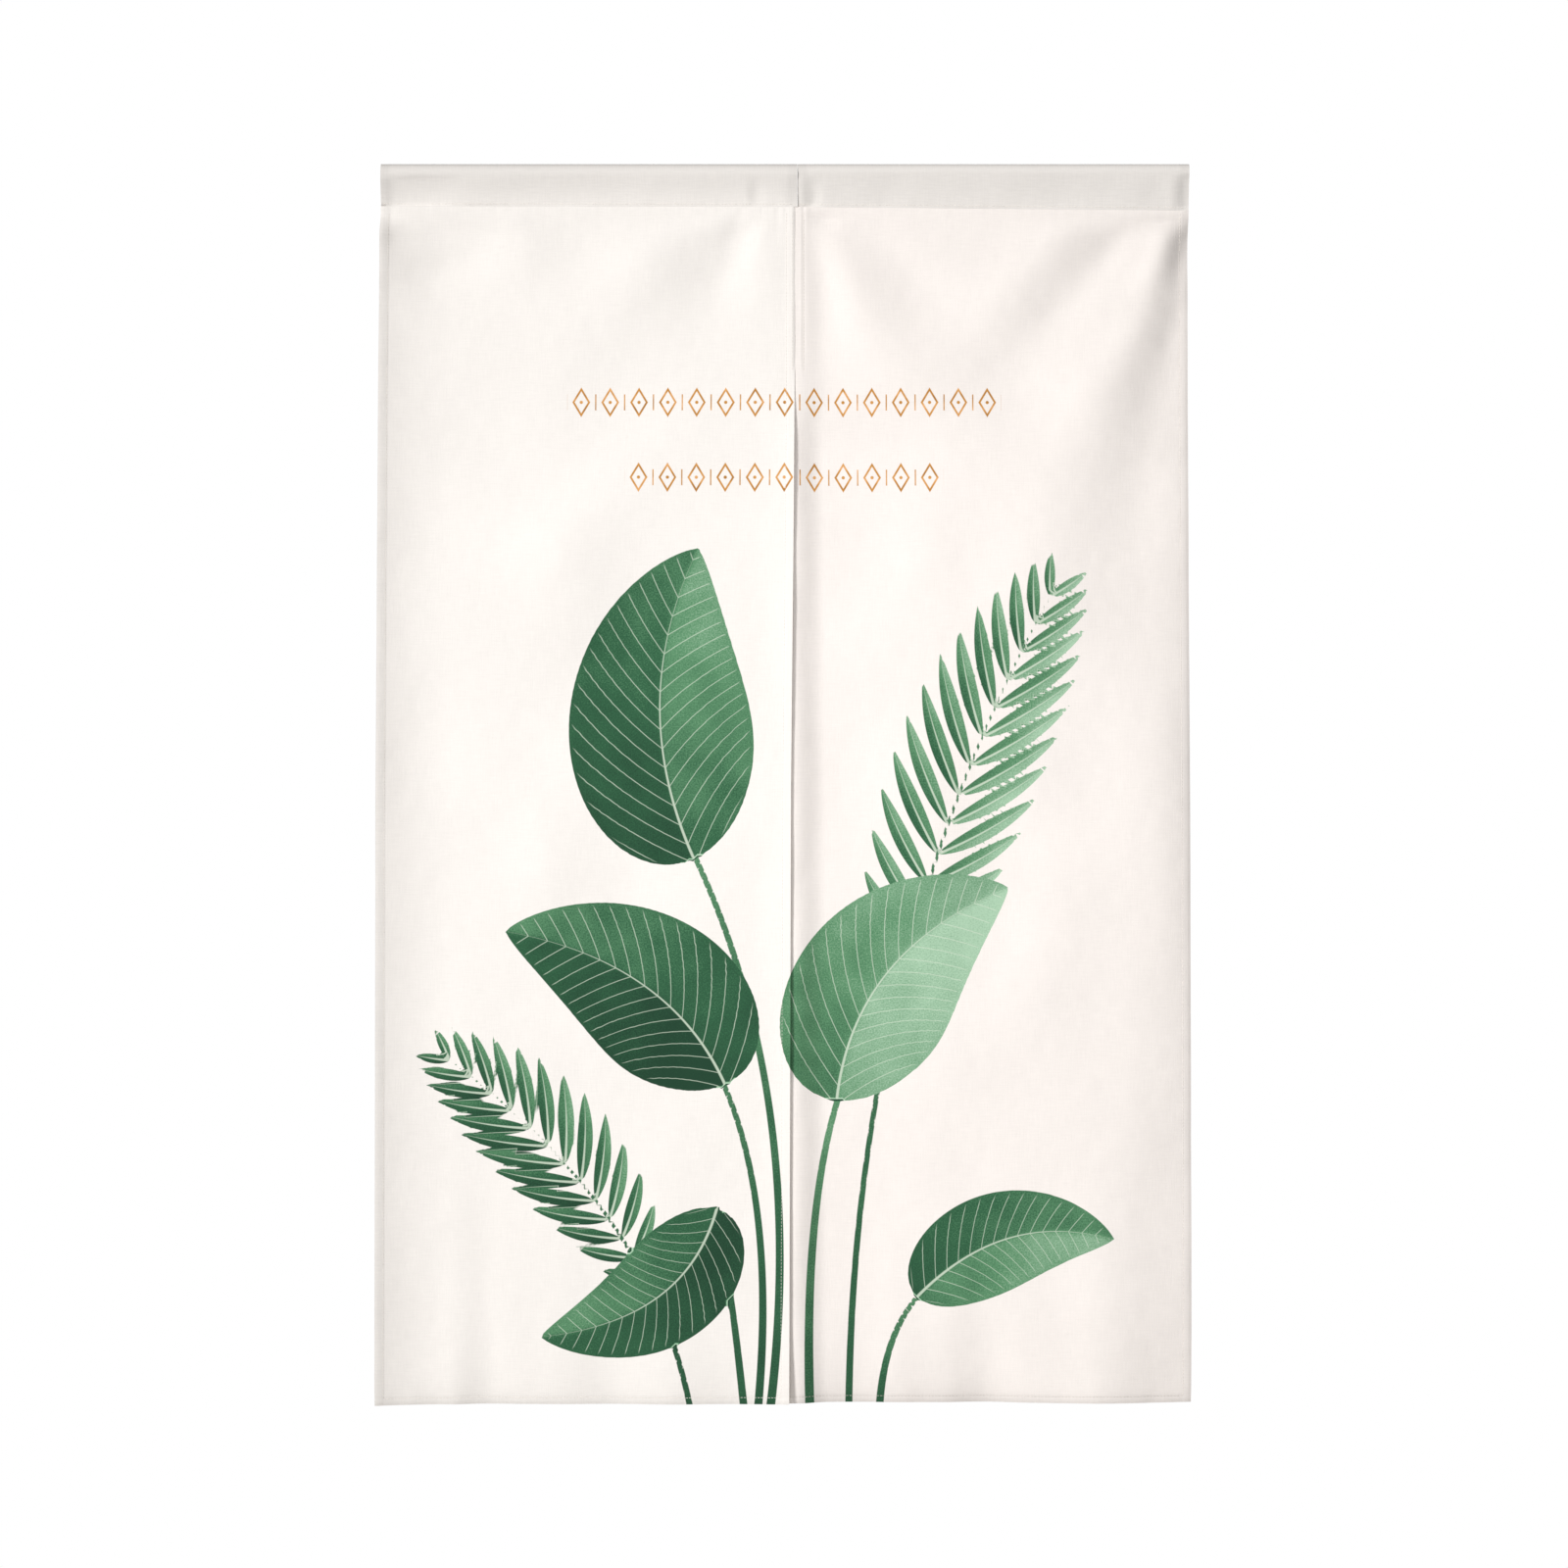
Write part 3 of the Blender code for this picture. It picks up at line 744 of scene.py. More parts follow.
def pocket_surface(pocket, ring_share, x):
    """Points of a pocket's outer face, by their share of the way round and their place along it."""
    outline = pocket_outline(pocket.radius, pocket.front_y, pocket_seam_drop(pocket.start_x))
    shares = np.linspace(0, 1, len(outline))
    y = np.interp(ring_share, shares, outline[:, 0])
    z = np.interp(ring_share, shares, outline[:, 1])
    lowest = -pocket_seam_drop(pocket.start_x)
    below_rod = np.maximum((-pocket.radius - z) / (-pocket.radius - lowest), 0.0)
    z = z - below_rod * (pocket_seam_drop(x) + lowest)
    facing = np.where(ring_share < 0.5, 1.0, -0.6)
    slack = POCKET_SLACK * waves(x, SLACK_WAVES, 0.8) * np.sin(math.pi * below_rod)
    pull = SEAM_PULL * waves(x, PUCKER_WAVES, 1.3) * smooth((below_rod - 0.55) / 0.4)
    held = smooth((below_rod - 0.02) / 0.2) * smooth((1.0 - below_rod) / 0.06)
    from_end = np.minimum(x - pocket.start_x, pocket.end_x - x)
    rolled = END_ROLL * (1 - smooth(from_end / END_ROLL_WIDTH))
    y = y - facing * held * (dent_lift(pocket.dents, x, -z) + slack + pull - rolled)
    return np.stack((x, y, z), axis=-1)


def make_pocket_cloth(pocket):
    ring_count = len(pocket_outline(pocket.radius, pocket.front_y, 0.041))
    bm = bmesh.new()
    ring = [bm.verts.new((0, i, 0)) for i in range(ring_count)]
    edges = [bm.edges.new(pair) for pair in zip(ring, ring[1:] + ring[:1])]
    steps = round((pocket.end_x - pocket.start_x) / POCKET_STEP)
    for step in range(1, steps + 1):
        made = bmesh.ops.extrude_edge_only(bm, edges=edges)["geom"]
        edges = [item for item in made if isinstance(item, bmesh.types.BMEdge)]
        for vertex in {vertex for edge in edges for vertex in edge.verts}:
            vertex.co.x = step
    mesh = bpy.data.meshes.new(pocket.name)
    bm.to_mesh(mesh)
    bm.free()
    places = np.empty(len(mesh.vertices) * 3)
    mesh.vertices.foreach_get("co", places)
    places = places.reshape(-1, 3)
    x = pocket.start_x + (pocket.end_x - pocket.start_x) * places[:, 0] / steps
    ring_share = places[:, 1] / (ring_count - 1)
    points = pocket_surface(pocket, ring_share, x)
    place_points(mesh, points)
    highest_face = max(mesh.polygons, key=lambda face: face.center.z)
    if highest_face.normal.z < 0:
        mesh.flip_normals()
    set_cloth_map(mesh, x, ring_share * 0.085)
    cloth = add_object(pocket.name, mesh)
    from_end = np.minimum(x - pocket.start_x, pocket.end_x - x)
    in_hem = from_end <= SIDE_HEM
    # Painted shade: the heading is painted darker, less so near its seam, and its hemmed ends darker still.
    above_seam = points[:, 2] + pocket_seam_drop(x)
    shade = 1 - pocket.light_at_seam * (1 - smooth(above_seam / SHADE_ENDS_ABOVE_SEAM))
    paint_shade(mesh, in_hem + POCKET_PAINTED_SHADE * shade)
    thicken(cloth, np.flatnonzero(in_hem), np.flatnonzero(from_end < 0.1 * MM))
    print(pocket.name, len(cloth.data.polygons), "faces")
    return cloth


left_pocket = make_pocket_cloth(LEFT_POCKET)
right_pocket = make_pocket_cloth(RIGHT_POCKET)
distance_to_solid(left_pocket, "left_rod_pocket")
distance_to_solid(right_pocket, "right_rod_pocket")

# %% [markdown]
# ## The print
#
# A plant in greens rises from the hem. It is a plain botanical design of this lesson's own: broad
# pointed leaves, two feathered fronds and their stems. Each leaf is a curve for its midrib and a
# formula for its width. Every point of the cloth is told how far outside the nearest leaf it lies,
# how far along that leaf, and how far to the side of its midrib. These few numbers vary smoothly, so
# the material can draw crisp outlines and veins from them between the points of the mesh.

# %% Leaves
# Places and sizes in millimetres. The width is the leaf's largest, and its fullness says how its
# width is shared out: a low base_fullness is broad at the stem, and a low tip_fullness at the tip.
Leaf = namedtuple(
    "Leaf",
    "base_x base_drop bend_x bend_drop tip_x tip_drop width base_fullness tip_fullness vein_pitch tone",
)
BROAD, SLENDER, NO_VEINS = (0.50, 0.80), (0.75, 0.95), 0.0
CURVE_STEPS = 48


def leaf_curve(leaf):
    """Points along the midrib, in metres."""
    share = np.linspace(0, 1, CURVE_STEPS + 1)[:, None]
    base, bend, tip = (
        np.array(point) * MM
        for point in (
            (leaf.base_x, leaf.base_drop),
            (leaf.bend_x, leaf.bend_drop),
            (leaf.tip_x, leaf.tip_drop),
        )
    )
    return base * (1 - share) ** 2 + 2 * bend * share * (1 - share) + tip * share**2


def half_width(leaf, share):
    """Half of a leaf's width at shares of the way from its base to its tip."""
    if not leaf.vein_pitch:
        return leaf.width * MM / 2 * (1 - leaf.tip_fullness * share)
    fullest = leaf.base_fullness / (leaf.base_fullness + leaf.tip_fullness)
    most = fullest**leaf.base_fullness * (1 - fullest) ** leaf.tip_fullness
    shape = share**leaf.base_fullness * (1 - share) ** leaf.tip_fullness / most
    return leaf.width * MM / 2 * shape


def leaf_measures(leaf, x, drop):
    """For points of the cloth: share along the leaf, signed distance from its midrib, its length."""
    curve = leaf_curve(leaf)
    starts, runs = curve[:-1], np.diff(curve, axis=0)
    lengths = np.hypot(runs[:, 0], runs[:, 1])
    from_x = x[:, None] - starts[None, :, 0]
    from_drop = drop[:, None] - starts[None, :, 1]
    along = np.clip((from_x * runs[:, 0] + from_drop * runs[:, 1]) / lengths**2, 0, 1)
    off_x, off_drop = from_x - along * runs[:, 0], from_drop - along * runs[:, 1]
    distance = np.hypot(off_x, off_drop)
    nearest = np.argmin(distance, axis=1)
    rows = np.arange(len(x))
    side = np.sign(runs[nearest, 0] * off_drop[rows, nearest] - runs[nearest, 1] * off_x[rows, nearest])
    share = (nearest + along[rows, nearest]) / CURVE_STEPS
    return share, side * distance[rows, nearest], lengths.sum()


# %% [markdown]
# A frond is a thin stem with leaflets on both sides. A loop places them along its curve, longest in
# the middle and slanting more towards the tip, as they do on a palm.

# %% Fronds
Frond = namedtuple("Frond", "stem pairs first_share leaflet_length leaflet_width spread_deg tone")
LEAFLET_DROOP = 0.16


def frond_leaflets(frond):
    curve = leaf_curve(frond.stem) / MM
    leaflets = []
    for place in range(frond.pairs):
        share = frond.first_share + (0.985 - frond.first_share) * place / (frond.pairs - 1)
        index = min(int(share * CURVE_STEPS), CURVE_STEPS - 1)
        base = curve[index] + (curve[index + 1] - curve[index]) * (share * CURVE_STEPS - index)
        heading = math.atan2(*(curve[index + 1] - curve[index])[::-1])
        grown = math.sin(math.pi * (0.12 + 0.80 * place / (frond.pairs - 1))) ** 0.7
        length = frond.leaflet_length * grown
        spread = math.radians(frond.spread_deg) * (1.0 - 0.45 * place / (frond.pairs - 1))
        for hand in (-1, 1):
            direction = np.array((math.cos(heading + hand * spread), math.sin(heading + hand * spread)))
            forward = np.array((math.cos(heading), math.sin(heading)))
            bend = base + direction * length * 0.5
            tip = base + direction * length * 0.86 + forward * length * LEAFLET_DROOP
            tone = frond.tone + 0.10 * hand + 0.05 * math.sin(2.4 * place)
            leaflets.append(
                Leaf(*base, *bend, *tip, frond.leaflet_width * grown**0.5, *SLENDER, 200.0, tone)
            )
    return leaflets


# %% The layout of the print
def broad_leaf(base, bend, tip, width, tone, vein_pitch=17.0):
    return Leaf(*base, *bend, *tip, width, *BROAD, vein_pitch, tone)


def stem(base, bend, tip, width, tone, taper=0.35):
    return Leaf(*base, *bend, *tip, width, 0, taper, NO_VEINS, tone)


HEM = 1202
RIGHT_FROND = Frond(stem((62, HEM), (66, 760), (262, 408), 7.0, 0.40, 0.75), 15, 0.46, 118, 17, 58, 0.62)
LEFT_FROND = Frond(stem((-92, HEM), (-128, 1010), (-330, 862), 6.0, 0.34, 0.75), 13, 0.34, 92, 15, 60, 0.36)
BACK_LAYER = (
    *frond_leaflets(RIGHT_FROND),
    *frond_leaflets(LEFT_FROND),
)
MIDDLE_LAYER = (
    # The fronds' own stems, over their leaflets.
    RIGHT_FROND.stem,
    LEFT_FROND.stem,
    stem((-14, HEM), (22, 900), (-88, 668), 8.5, 0.36),
    broad_leaf((-88, 672), (-156, 520), (-84, 372), 178, 0.40, 19.0),
    stem((92, HEM), (96, 1130), (132, 1092), 7.5, 0.42),
    broad_leaf((128, 1096), (210, 1010), (318, 1040), 96, 0.50, 13.0),
    broad_leaf((-66, 1010), (-96, 1120), (-236, 1134), 104, 0.30, 13.0),
    stem((-40, HEM), (-52, 1080), (-67, 1016), 7.5, 0.34),
)
FRONT_LAYER = (
    stem((24, HEM), (18, 1010), (52, 902), 9.0, 0.46),
    broad_leaf((50, 906), (66, 760), (216, 700), 158, 0.74, 18.0),
    stem((-26, HEM), (-8, 1000), (-62, 884), 8.0, 0.30),
    broad_leaf((-58, 890), (-112, 770), (-270, 742), 150, 0.22, 17.0),
)
PRINT_LAYERS = {"back": BACK_LAYER, "middle": MIDDLE_LAYER, "front": FRONT_LAYER}
print({name: len(layer) for name, layer in PRINT_LAYERS.items()}, "leaves and stems")

# %% Writing the print on the cloth
OUTSIDE = 20.0
LEAF_MARGIN = 24 * MM


def print_layer(mesh, name, leaves, x, drop):
    """Gives each point its place in the nearest leaf of a layer. Distances are in millimetres."""
    edge = np.full(len(x), OUTSIDE)
    place = np.zeros((len(x), 3))
    tone = np.zeros(len(x))
    for leaf in leaves:
        reach = leaf.width * MM / 2 + LEAF_MARGIN
        curve = leaf_curve(leaf)
        near = (x > curve[:, 0].min() - reach) & (x < curve[:, 0].max() + reach)
        near &= (drop > curve[:, 1].min() - reach) & (drop < curve[:, 1].max() + reach)
        rows = np.flatnonzero(near)
        if not len(rows):
            continue
        share, aside, length = leaf_measures(leaf, x[rows], drop[rows])
        outside = (np.abs(aside) - half_width(leaf, share)) / MM
        closer = outside < edge[rows]
        rows, outside, share, aside = rows[closer], outside[closer], share[closer], aside[closer]
        edge[rows] = outside
        pitch = leaf.vein_pitch * MM if leaf.vein_pitch else 1.0
        side_veins = share * length / pitch if leaf.vein_pitch else np.zeros(len(rows))
        place[rows] = np.stack((side_veins, aside / MM, share), axis=-1)
        tone[rows] = leaf.tone + (0.0 if leaf.vein_pitch else 2.0)
    for suffix, kind, values in (("edge", "FLOAT", edge), ("tone", "FLOAT", tone)):
        mesh.attributes.new(f"{name}_{suffix}", kind, "POINT").data.foreach_set("value", values)
    vectors = mesh.attributes.new(f"{name}_place", "FLOAT_VECTOR", "POINT")
    vectors.data.foreach_set("vector", place.ravel())
    return np.count_nonzero(edge < 0) / len(edge)


def print_cloth(cloth):
    places = np.empty(len(cloth.data.vertices) * 3)
    cloth.data.vertices.foreach_get("co", places)
    x, drop = places[0::3], -places[2::3]
    for name, leaves in PRINT_LAYERS.items():
        share = print_layer(cloth.data, name, leaves, x, drop)
        print(f"the {name} layer prints {share:.0%} of {cloth.name}")


print_cloth(left_cloth)
print_cloth(right_cloth)

# %% [markdown]
# ## Writing materials as sums
#
# A cloth's colour is a long sum of small effects. Nodes for it are easier to write, and to read, as
# Python expressions, so one small class wraps a socket and adds a Math node for each operator. All
# other kinds of node come from one method.

# %% A socket that can be added and multiplied
class Socket:
    """A socket of a material. Arithmetic on it adds Math nodes to the material."""

    def __init__(self, tree, output=None):
        self.tree = tree
        self.output = output

    def node(self, kind, settings=None, inputs=None, output=0):
        """Any node: its settings are set first, then the values or links of its sockets."""
        made = self.tree.nodes.new(kind)
        for name, value in (settings or {}).items():
            if name == "stops":
                set_stops(made.color_ramp, value)
            else:
                setattr(made, name, value)
        for key, value in (inputs or {}).items():
            feed(self.tree, made.inputs[key], value)
        return Socket(self.tree, made.outputs[output])

    def math(self, operation, *values):
        return self.node("ShaderNodeMath", {"operation": operation}, dict(enumerate(values)))

    def __add__(self, other):
        return self.math("ADD", self, other)

    def __radd__(self, other):
        return self.math("ADD", other, self)

    def __sub__(self, other):
        return self.math("SUBTRACT", self, other)

    def __rsub__(self, other):
        return self.math("SUBTRACT", other, self)

    def __mul__(self, other):
        return self.math("MULTIPLY", self, other)

    def __rmul__(self, other):
        return self.math("MULTIPLY", other, self)

    def __truediv__(self, other):
        return self.math("DIVIDE", self, other)

    def __abs__(self):
        return self.math("ABSOLUTE", self)

    def limited(self):
        """The value, held between 0 and 1."""
        return self.node("ShaderNodeClamp", inputs={"Value": self})

    def lowest(self, other):
        return self.math("MINIMUM", self, other)

    def highest(self, other):
        return self.math("MAXIMUM", self, other)

    def wave(self):
        """The distance to the nearest whole number, from 0 to 0.5."""
        return self.math("PINGPONG", self, 0.5)

    def blend(self, without, having):
        """This value as the share of a colour that is mixed over another."""
        return self.node(
            "ShaderNodeMix", {"data_type": "RGBA"}, {0: self, 6: without, 7: having}, output=2
        )


def feed(tree, target, value):
    if isinstance(value, Socket):
        tree.links.new(value.output, target)
    else:
        target.default_value = value


def set_stops(ramp, stops):
    for place, colour in stops[len(ramp.elements):]:
        ramp.elements.new(place)
    for element, (place, colour) in zip(ramp.elements, stops):
        element.position = place
        element.color = colour


def screen_colour(red, green, blue):
    """A colour given as it shows on a screen, 0 to 255, as the renderer wants it."""
    channels = [value / 255 for value in (red, green, blue)]
    linear = [
        value / 12.92 if value <= 0.04045 else ((value + 0.055) / 1.055) ** 2.4 for value in channels
    ]
    return (*linear, 1.0)


print("the gold is", [round(value, 3) for value in screen_colour(200, 140, 60)])

# %% [markdown]
# ## Cotton-linen
#
# Linen yarn is uneven: thick places, called slubs, make short streaks along the warp and the weft,
# and the weave itself is a fine grid. Stretched noise gives the streaks and a sum of two waves the
# weave. Both move the surface through a bump, and the streaks also tint it. The cloth is matt, with
# the soft sheen of its fuzz.

# %% The weave
YARN_PITCH = 0.95 * MM
SLUB_LENGTH, SLUB_WIDTH = 16 * MM, 1.1 * MM
WEAVE_HEIGHT, SLUB_HEIGHT = 0.05 * MM, 0.07 * MM
# The second number is how much darker one unit of painted shade makes the cloth.
CLOTH_ROUGHNESS, PAINTED_SHADE_DARKER = 0.90, 0.045


def streaks(start, flat, stretch, seed):
    """Noise drawn out along one direction of the cloth, about 0 on average."""
    scaled = start.node(
        "ShaderNodeMapping", inputs={"Vector": flat, "Scale": stretch, "Location": (seed, 2 * seed, 0)}
    )
    noise = start.node("ShaderNodeTexNoise", inputs={"Vector": scaled, "Scale": 1.0, "Detail": 2.0})
    return noise - 0.5


def weave(start):
    """The cloth's flat map, the tint of its slubs, and the height of its surface in millimetres."""
    flat = start.node("ShaderNodeUVMap", {"uv_map": "cloth"})
    warp = streaks(start, flat, (1 / SLUB_WIDTH, 1 / SLUB_LENGTH, 1.0), 3.1)
    weft = streaks(start, flat, (1 / SLUB_LENGTH, 1 / SLUB_WIDTH, 1.0), 7.7)
    cloudy = streaks(start, flat, (14.0, 14.0, 1.0), 5.3)
    across = start.node("ShaderNodeSeparateXYZ", inputs={"Vector": flat}, output=0)
    down = start.node("ShaderNodeSeparateXYZ", inputs={"Vector": flat}, output=1)
    turns = math.tau / YARN_PITCH
    grid = (across * turns).math("SINE", across * turns) + (down * turns).math("SINE", down * turns)
    slubs = warp + weft
    height = grid * (WEAVE_HEIGHT / MM / 2) + slubs * (SLUB_HEIGHT / MM * 2)
    tint = slubs * 0.55 + cloudy * 0.20
    return flat, tint, height


def new_material(name):
    material = bpy.data.materials.new(name)
    material.use_nodes = True
    shader = material.node_tree.nodes["Principled BSDF"]
    return material, shader, Socket(material.node_tree)


def finish_cloth(start, shader, colour, tint, height):
    """Puts the weave's tint and the painted shade into a colour, and sets what is the same on all cloth."""
    # Painted shade: the colour is darker where the painted shade attribute is set.
    layers = start.node("ShaderNodeAttribute", {"attribute_name": "layers"}, output="Fac")
    colour_with_slubs_and_painted_shade = start.node(
        "ShaderNodeHueSaturation",
        inputs={"Color": colour, "Value": (1.0 - layers * PAINTED_SHADE_DARKER) + tint * 0.16},
    )
    bump = start.node("ShaderNodeBump", inputs={"Height": height, "Distance": MM, "Strength": 0.8})
    feed(start.tree, shader.inputs["Base Color"], colour_with_slubs_and_painted_shade)
    feed(start.tree, shader.inputs["Roughness"], CLOTH_ROUGHNESS + tint * 0.12)
    feed(start.tree, shader.inputs["Normal"], bump)
    shader.inputs["Specular IOR Level"].default_value = 0.25
    shader.inputs["Sheen Weight"].default_value = 0.06
    shader.inputs["Sheen Roughness"].default_value = 0.5


def plain_cloth(name, colour):
    material, shader, start = new_material(name)
    flat, tint, height = weave(start)
    finish_cloth(start, shader, colour, tint, height)
    return material


# The right panel's linen is a slightly darker, pinker copy of the left's: painted shade for the light falling
# off towards the right.
LEFT_LINEN, RIGHT_LINEN_PAINTED_SHADE = screen_colour(243, 238, 233), screen_colour(243, 236, 231)
LINEN_BACK = screen_colour(236, 230, 223)
heading_cloth = plain_cloth("heading_linen", LEFT_LINEN)
heading_back = plain_cloth("heading_linen_inside", LINEN_BACK)

# %% [markdown]
# ## Printing inks
#
# Each layer of the print is drawn from its numbers: the distance gives the outline, the place along
# the leaf less the distance from the midrib gives slanting side veins, and the two halves of a leaf
# are shaded unlike. The front layer covers the others. The material for the back has only a little
# of the print.

# %% The green inks
LEAF_GREENS = (
    (0.00, screen_colour(30, 66, 46)),
    (0.30, screen_colour(48, 96, 66)),
    (0.58, screen_colour(92, 142, 104)),
    (1.00, screen_colour(172, 205, 176)),
)
VEIN_COLOUR = screen_colour(206, 220, 200)
INK_SOFTNESS = 0.55
VEIN_SLANT, VEIN_LINE, RIB_LINE = 0.052, 0.045, 1.5
HALF_SHADING, LENGTH_SHADING, GRAIN, BLOTCH = 0.13, 0.34, 0.55, 0.28


def leaf_layer(start, flat, name):
    """The colour of one layer of leaves, and where it covers the cloth."""
    edge = start.node("ShaderNodeAttribute", {"attribute_name": f"{name}_edge"}, output="Fac")
    tone = start.node("ShaderNodeAttribute", {"attribute_name": f"{name}_tone"}, output="Fac")
    place = start.node("ShaderNodeAttribute", {"attribute_name": f"{name}_place"}, output="Vector")
    along = start.node("ShaderNodeSeparateXYZ", inputs={"Vector": place}, output=0)
    aside = start.node("ShaderNodeSeparateXYZ", inputs={"Vector": place}, output=1)
    share = start.node("ShaderNodeSeparateXYZ", inputs={"Vector": place}, output=2)
    is_stem = tone.math("GREATER_THAN", tone, 1.5)
    covers = (0.5 - edge / INK_SOFTNESS).limited()
    grain = streaks(start, flat, (700.0, 700.0, 1.0), 1.7)
    blotch = streaks(start, flat, (26.0, 26.0, 1.0), 9.2)
    half = (aside * 0.4).math("TANH", aside * 0.4)
    shade = (
        tone
        - is_stem * 2.0
        + half * HALF_SHADING * (1.0 - is_stem)
        + (share - 0.55) * LENGTH_SHADING
        + grain * GRAIN
        + blotch * BLOTCH
    )
    green = start.node("ShaderNodeValToRGB", {"stops": LEAF_GREENS}, {"Fac": shade.limited()})
    to_vein = (along - abs(aside) * VEIN_SLANT + 0.25).wave()
    inside = (-0.5 - edge * 0.22).limited()
    veins = ((VEIN_LINE - to_vein) / 0.03).limited() * inside * 0.62
    rib = ((RIB_LINE * (1.15 - share) - abs(aside)) * 1.3).limited() * 0.8
    lines = veins.highest(rib) * (1.0 - is_stem)
    return lines.blend(green, VEIN_COLOUR), covers


def leafy_colour(start, flat, ground, strength):
    colour = ground
    for name in PRINT_LAYERS:
        ink, covers = leaf_layer(start, flat, name)
        colour = (covers * strength).blend(colour, ink)
    return colour


# %% [markdown]
# Above the plant, two rows of a small gold ornament run across: open lozenges with a dot in each, and
# a short bar between them. A formula repeats them along each row, so they need no mesh. The gold has
# painted glints: its colour is brighter in streaky patches, for the shine of foil.

# %% The gold ornament
# All in millimetres.
GoldRow = namedtuple("GoldRow", "drop half_length pitch")
GOLD_ROWS = (
    GoldRow(drop=230.5, half_length=209, pitch=27.9),
    GoldRow(drop=303.0, half_length=153, pitch=27.9),
)
LOZENGE_HALF_WIDTH, LOZENGE_HALF_HEIGHT, GOLD_LINE = 7.5, 12.5, 1.25
# Dark to bright gold, for the painted glints.
GOLD_TONES = (
    (0.25, screen_colour(160, 108, 42)),
    (0.50, screen_colour(200, 140, 64)),
    (0.75, screen_colour(236, 178, 118)),
)


def gold_row(start, x, drop, row):
    """Where one row of the ornament covers the cloth. x and drop are in millimetres."""
    inside = ((row.half_length - abs(x)) * 2.0).limited()
    unit = (x / row.pitch).wave() * row.pitch
    between = (x / row.pitch + 0.5).wave() * row.pitch
    level = abs(drop - row.drop)
    lozenge = abs(unit / LOZENGE_HALF_WIDTH + level / LOZENGE_HALF_HEIGHT - 1.0)
    slope = 1 / math.hypot(1 / LOZENGE_HALF_WIDTH, 1 / LOZENGE_HALF_HEIGHT)
    outline = (GOLD_LINE - lozenge * slope) * 1.6
    dot = (1.9 - (unit * unit + level * level).math("SQRT", unit * unit + level * level)) * 1.6
    bar = ((0.9 - between) * 1.6).lowest((8.0 - level) * 1.6)
    return outline.highest(dot).highest(bar).limited() * inside


def gold_colour(start, flat, colour, strength):
    across = start.node("ShaderNodeSeparateXYZ", inputs={"Vector": flat}, output=0)
    down = start.node("ShaderNodeSeparateXYZ", inputs={"Vector": flat}, output=1)
    x, drop = across * (1 / MM), down * (-1 / MM)
    covers = gold_row(start, x, drop, GOLD_ROWS[0]).highest(gold_row(start, x, drop, GOLD_ROWS[1]))
    # Painted glints: the gold's colour goes from dark to bright in streaky patches.
    painted_glint = streaks(start, flat, (30.0, 90.0, 1.0), 4.4) + 0.5
    gold = start.node("ShaderNodeValToRGB", {"stops": GOLD_TONES}, {"Fac": painted_glint})
    return (covers * strength).blend(colour, gold)


def printed_cloth(name, ground, strength):
    material, shader, start = new_material(name)
    flat, tint, height = weave(start)
    colour = leafy_colour(start, flat, ground, strength)
    colour = gold_colour(start, flat, colour, strength)
    finish_cloth(start, shader, colour, tint, height)
    return material


printed_left = printed_cloth("printed_linen_left", LEFT_LINEN, 1.0)
# The right panel's print lies on the painted-shade copy of the linen.
printed_right_painted_shade = printed_cloth("printed_linen_right_painted_shade", RIGHT_LINEN_PAINTED_SHADE, 1.0)
printed_back = printed_cloth("printed_linen_back", LINEN_BACK, 0.16)
print("five cloth materials")

# %% [markdown]
# ## Stitches
#
# Every seam is a row of stitches three millimetres long. One stitch is a short bent tube that dips
# into the cloth at both ends. It is modelled once, and arrays of places, directions and normals copy
# it all along the rows, because thousands of objects would be slow.

# %% One stitch
STITCH_LENGTH, STITCH_PITCH, THREAD_RADIUS = 2.7 * MM, 3.3 * MM, 0.21 * MM
STITCH_RINGS = ((-0.5, -0.30), (-0.32, 0.06), (0.0, 0.14), (0.32, 0.06), (0.5, -0.30))
THREAD_SIDES = 5


def stitch_shape():
    """The points and faces of one stitch, lying along X with the cloth below it."""
    bm = bmesh.new()
    bmesh.ops.create_circle(bm, segments=THREAD_SIDES, radius=THREAD_RADIUS, cap_ends=True)
    turn = Vector((0, 0, 1)).rotation_difference(Vector((1, 0, 0))).to_matrix()
    bmesh.ops.rotate(bm, verts=bm.verts, matrix=turn)
    face = bm.faces[:][0]
    place, lift = STITCH_RINGS[0]
    bmesh.ops.translate(bm, verts=bm.verts, vec=(place * STITCH_LENGTH, 0, lift * MM))
    for next_place, next_lift in STITCH_RINGS[1:]:
        made = bmesh.ops.extrude_face_region(bm, geom=[face])["geom"]
        face = next(item for item in made if isinstance(item, bmesh.types.BMFace))
        step = ((next_place - place) * STITCH_LENGTH, 0, (next_lift - lift) * MM)
        bmesh.ops.translate(bm, verts=face.verts, vec=step)
        place, lift = next_place, next_lift
    bmesh.ops.recalc_face_normals(bm, faces=bm.faces)
    bm.verts.index_update()
    points = np.array([vertex.co[:] for vertex in bm.verts])
    faces = [[vertex.index for vertex in face.verts] for face in bm.faces]
    bm.free()
    return points, faces


STITCH_POINTS, STITCH_FACES = stitch_shape()
print(f"a stitch has {len(STITCH_FACES)} faces")

# %% Rows of stitches
Row = namedtuple("Row", "centres directions normals")
PROBE = 1.0 * MM


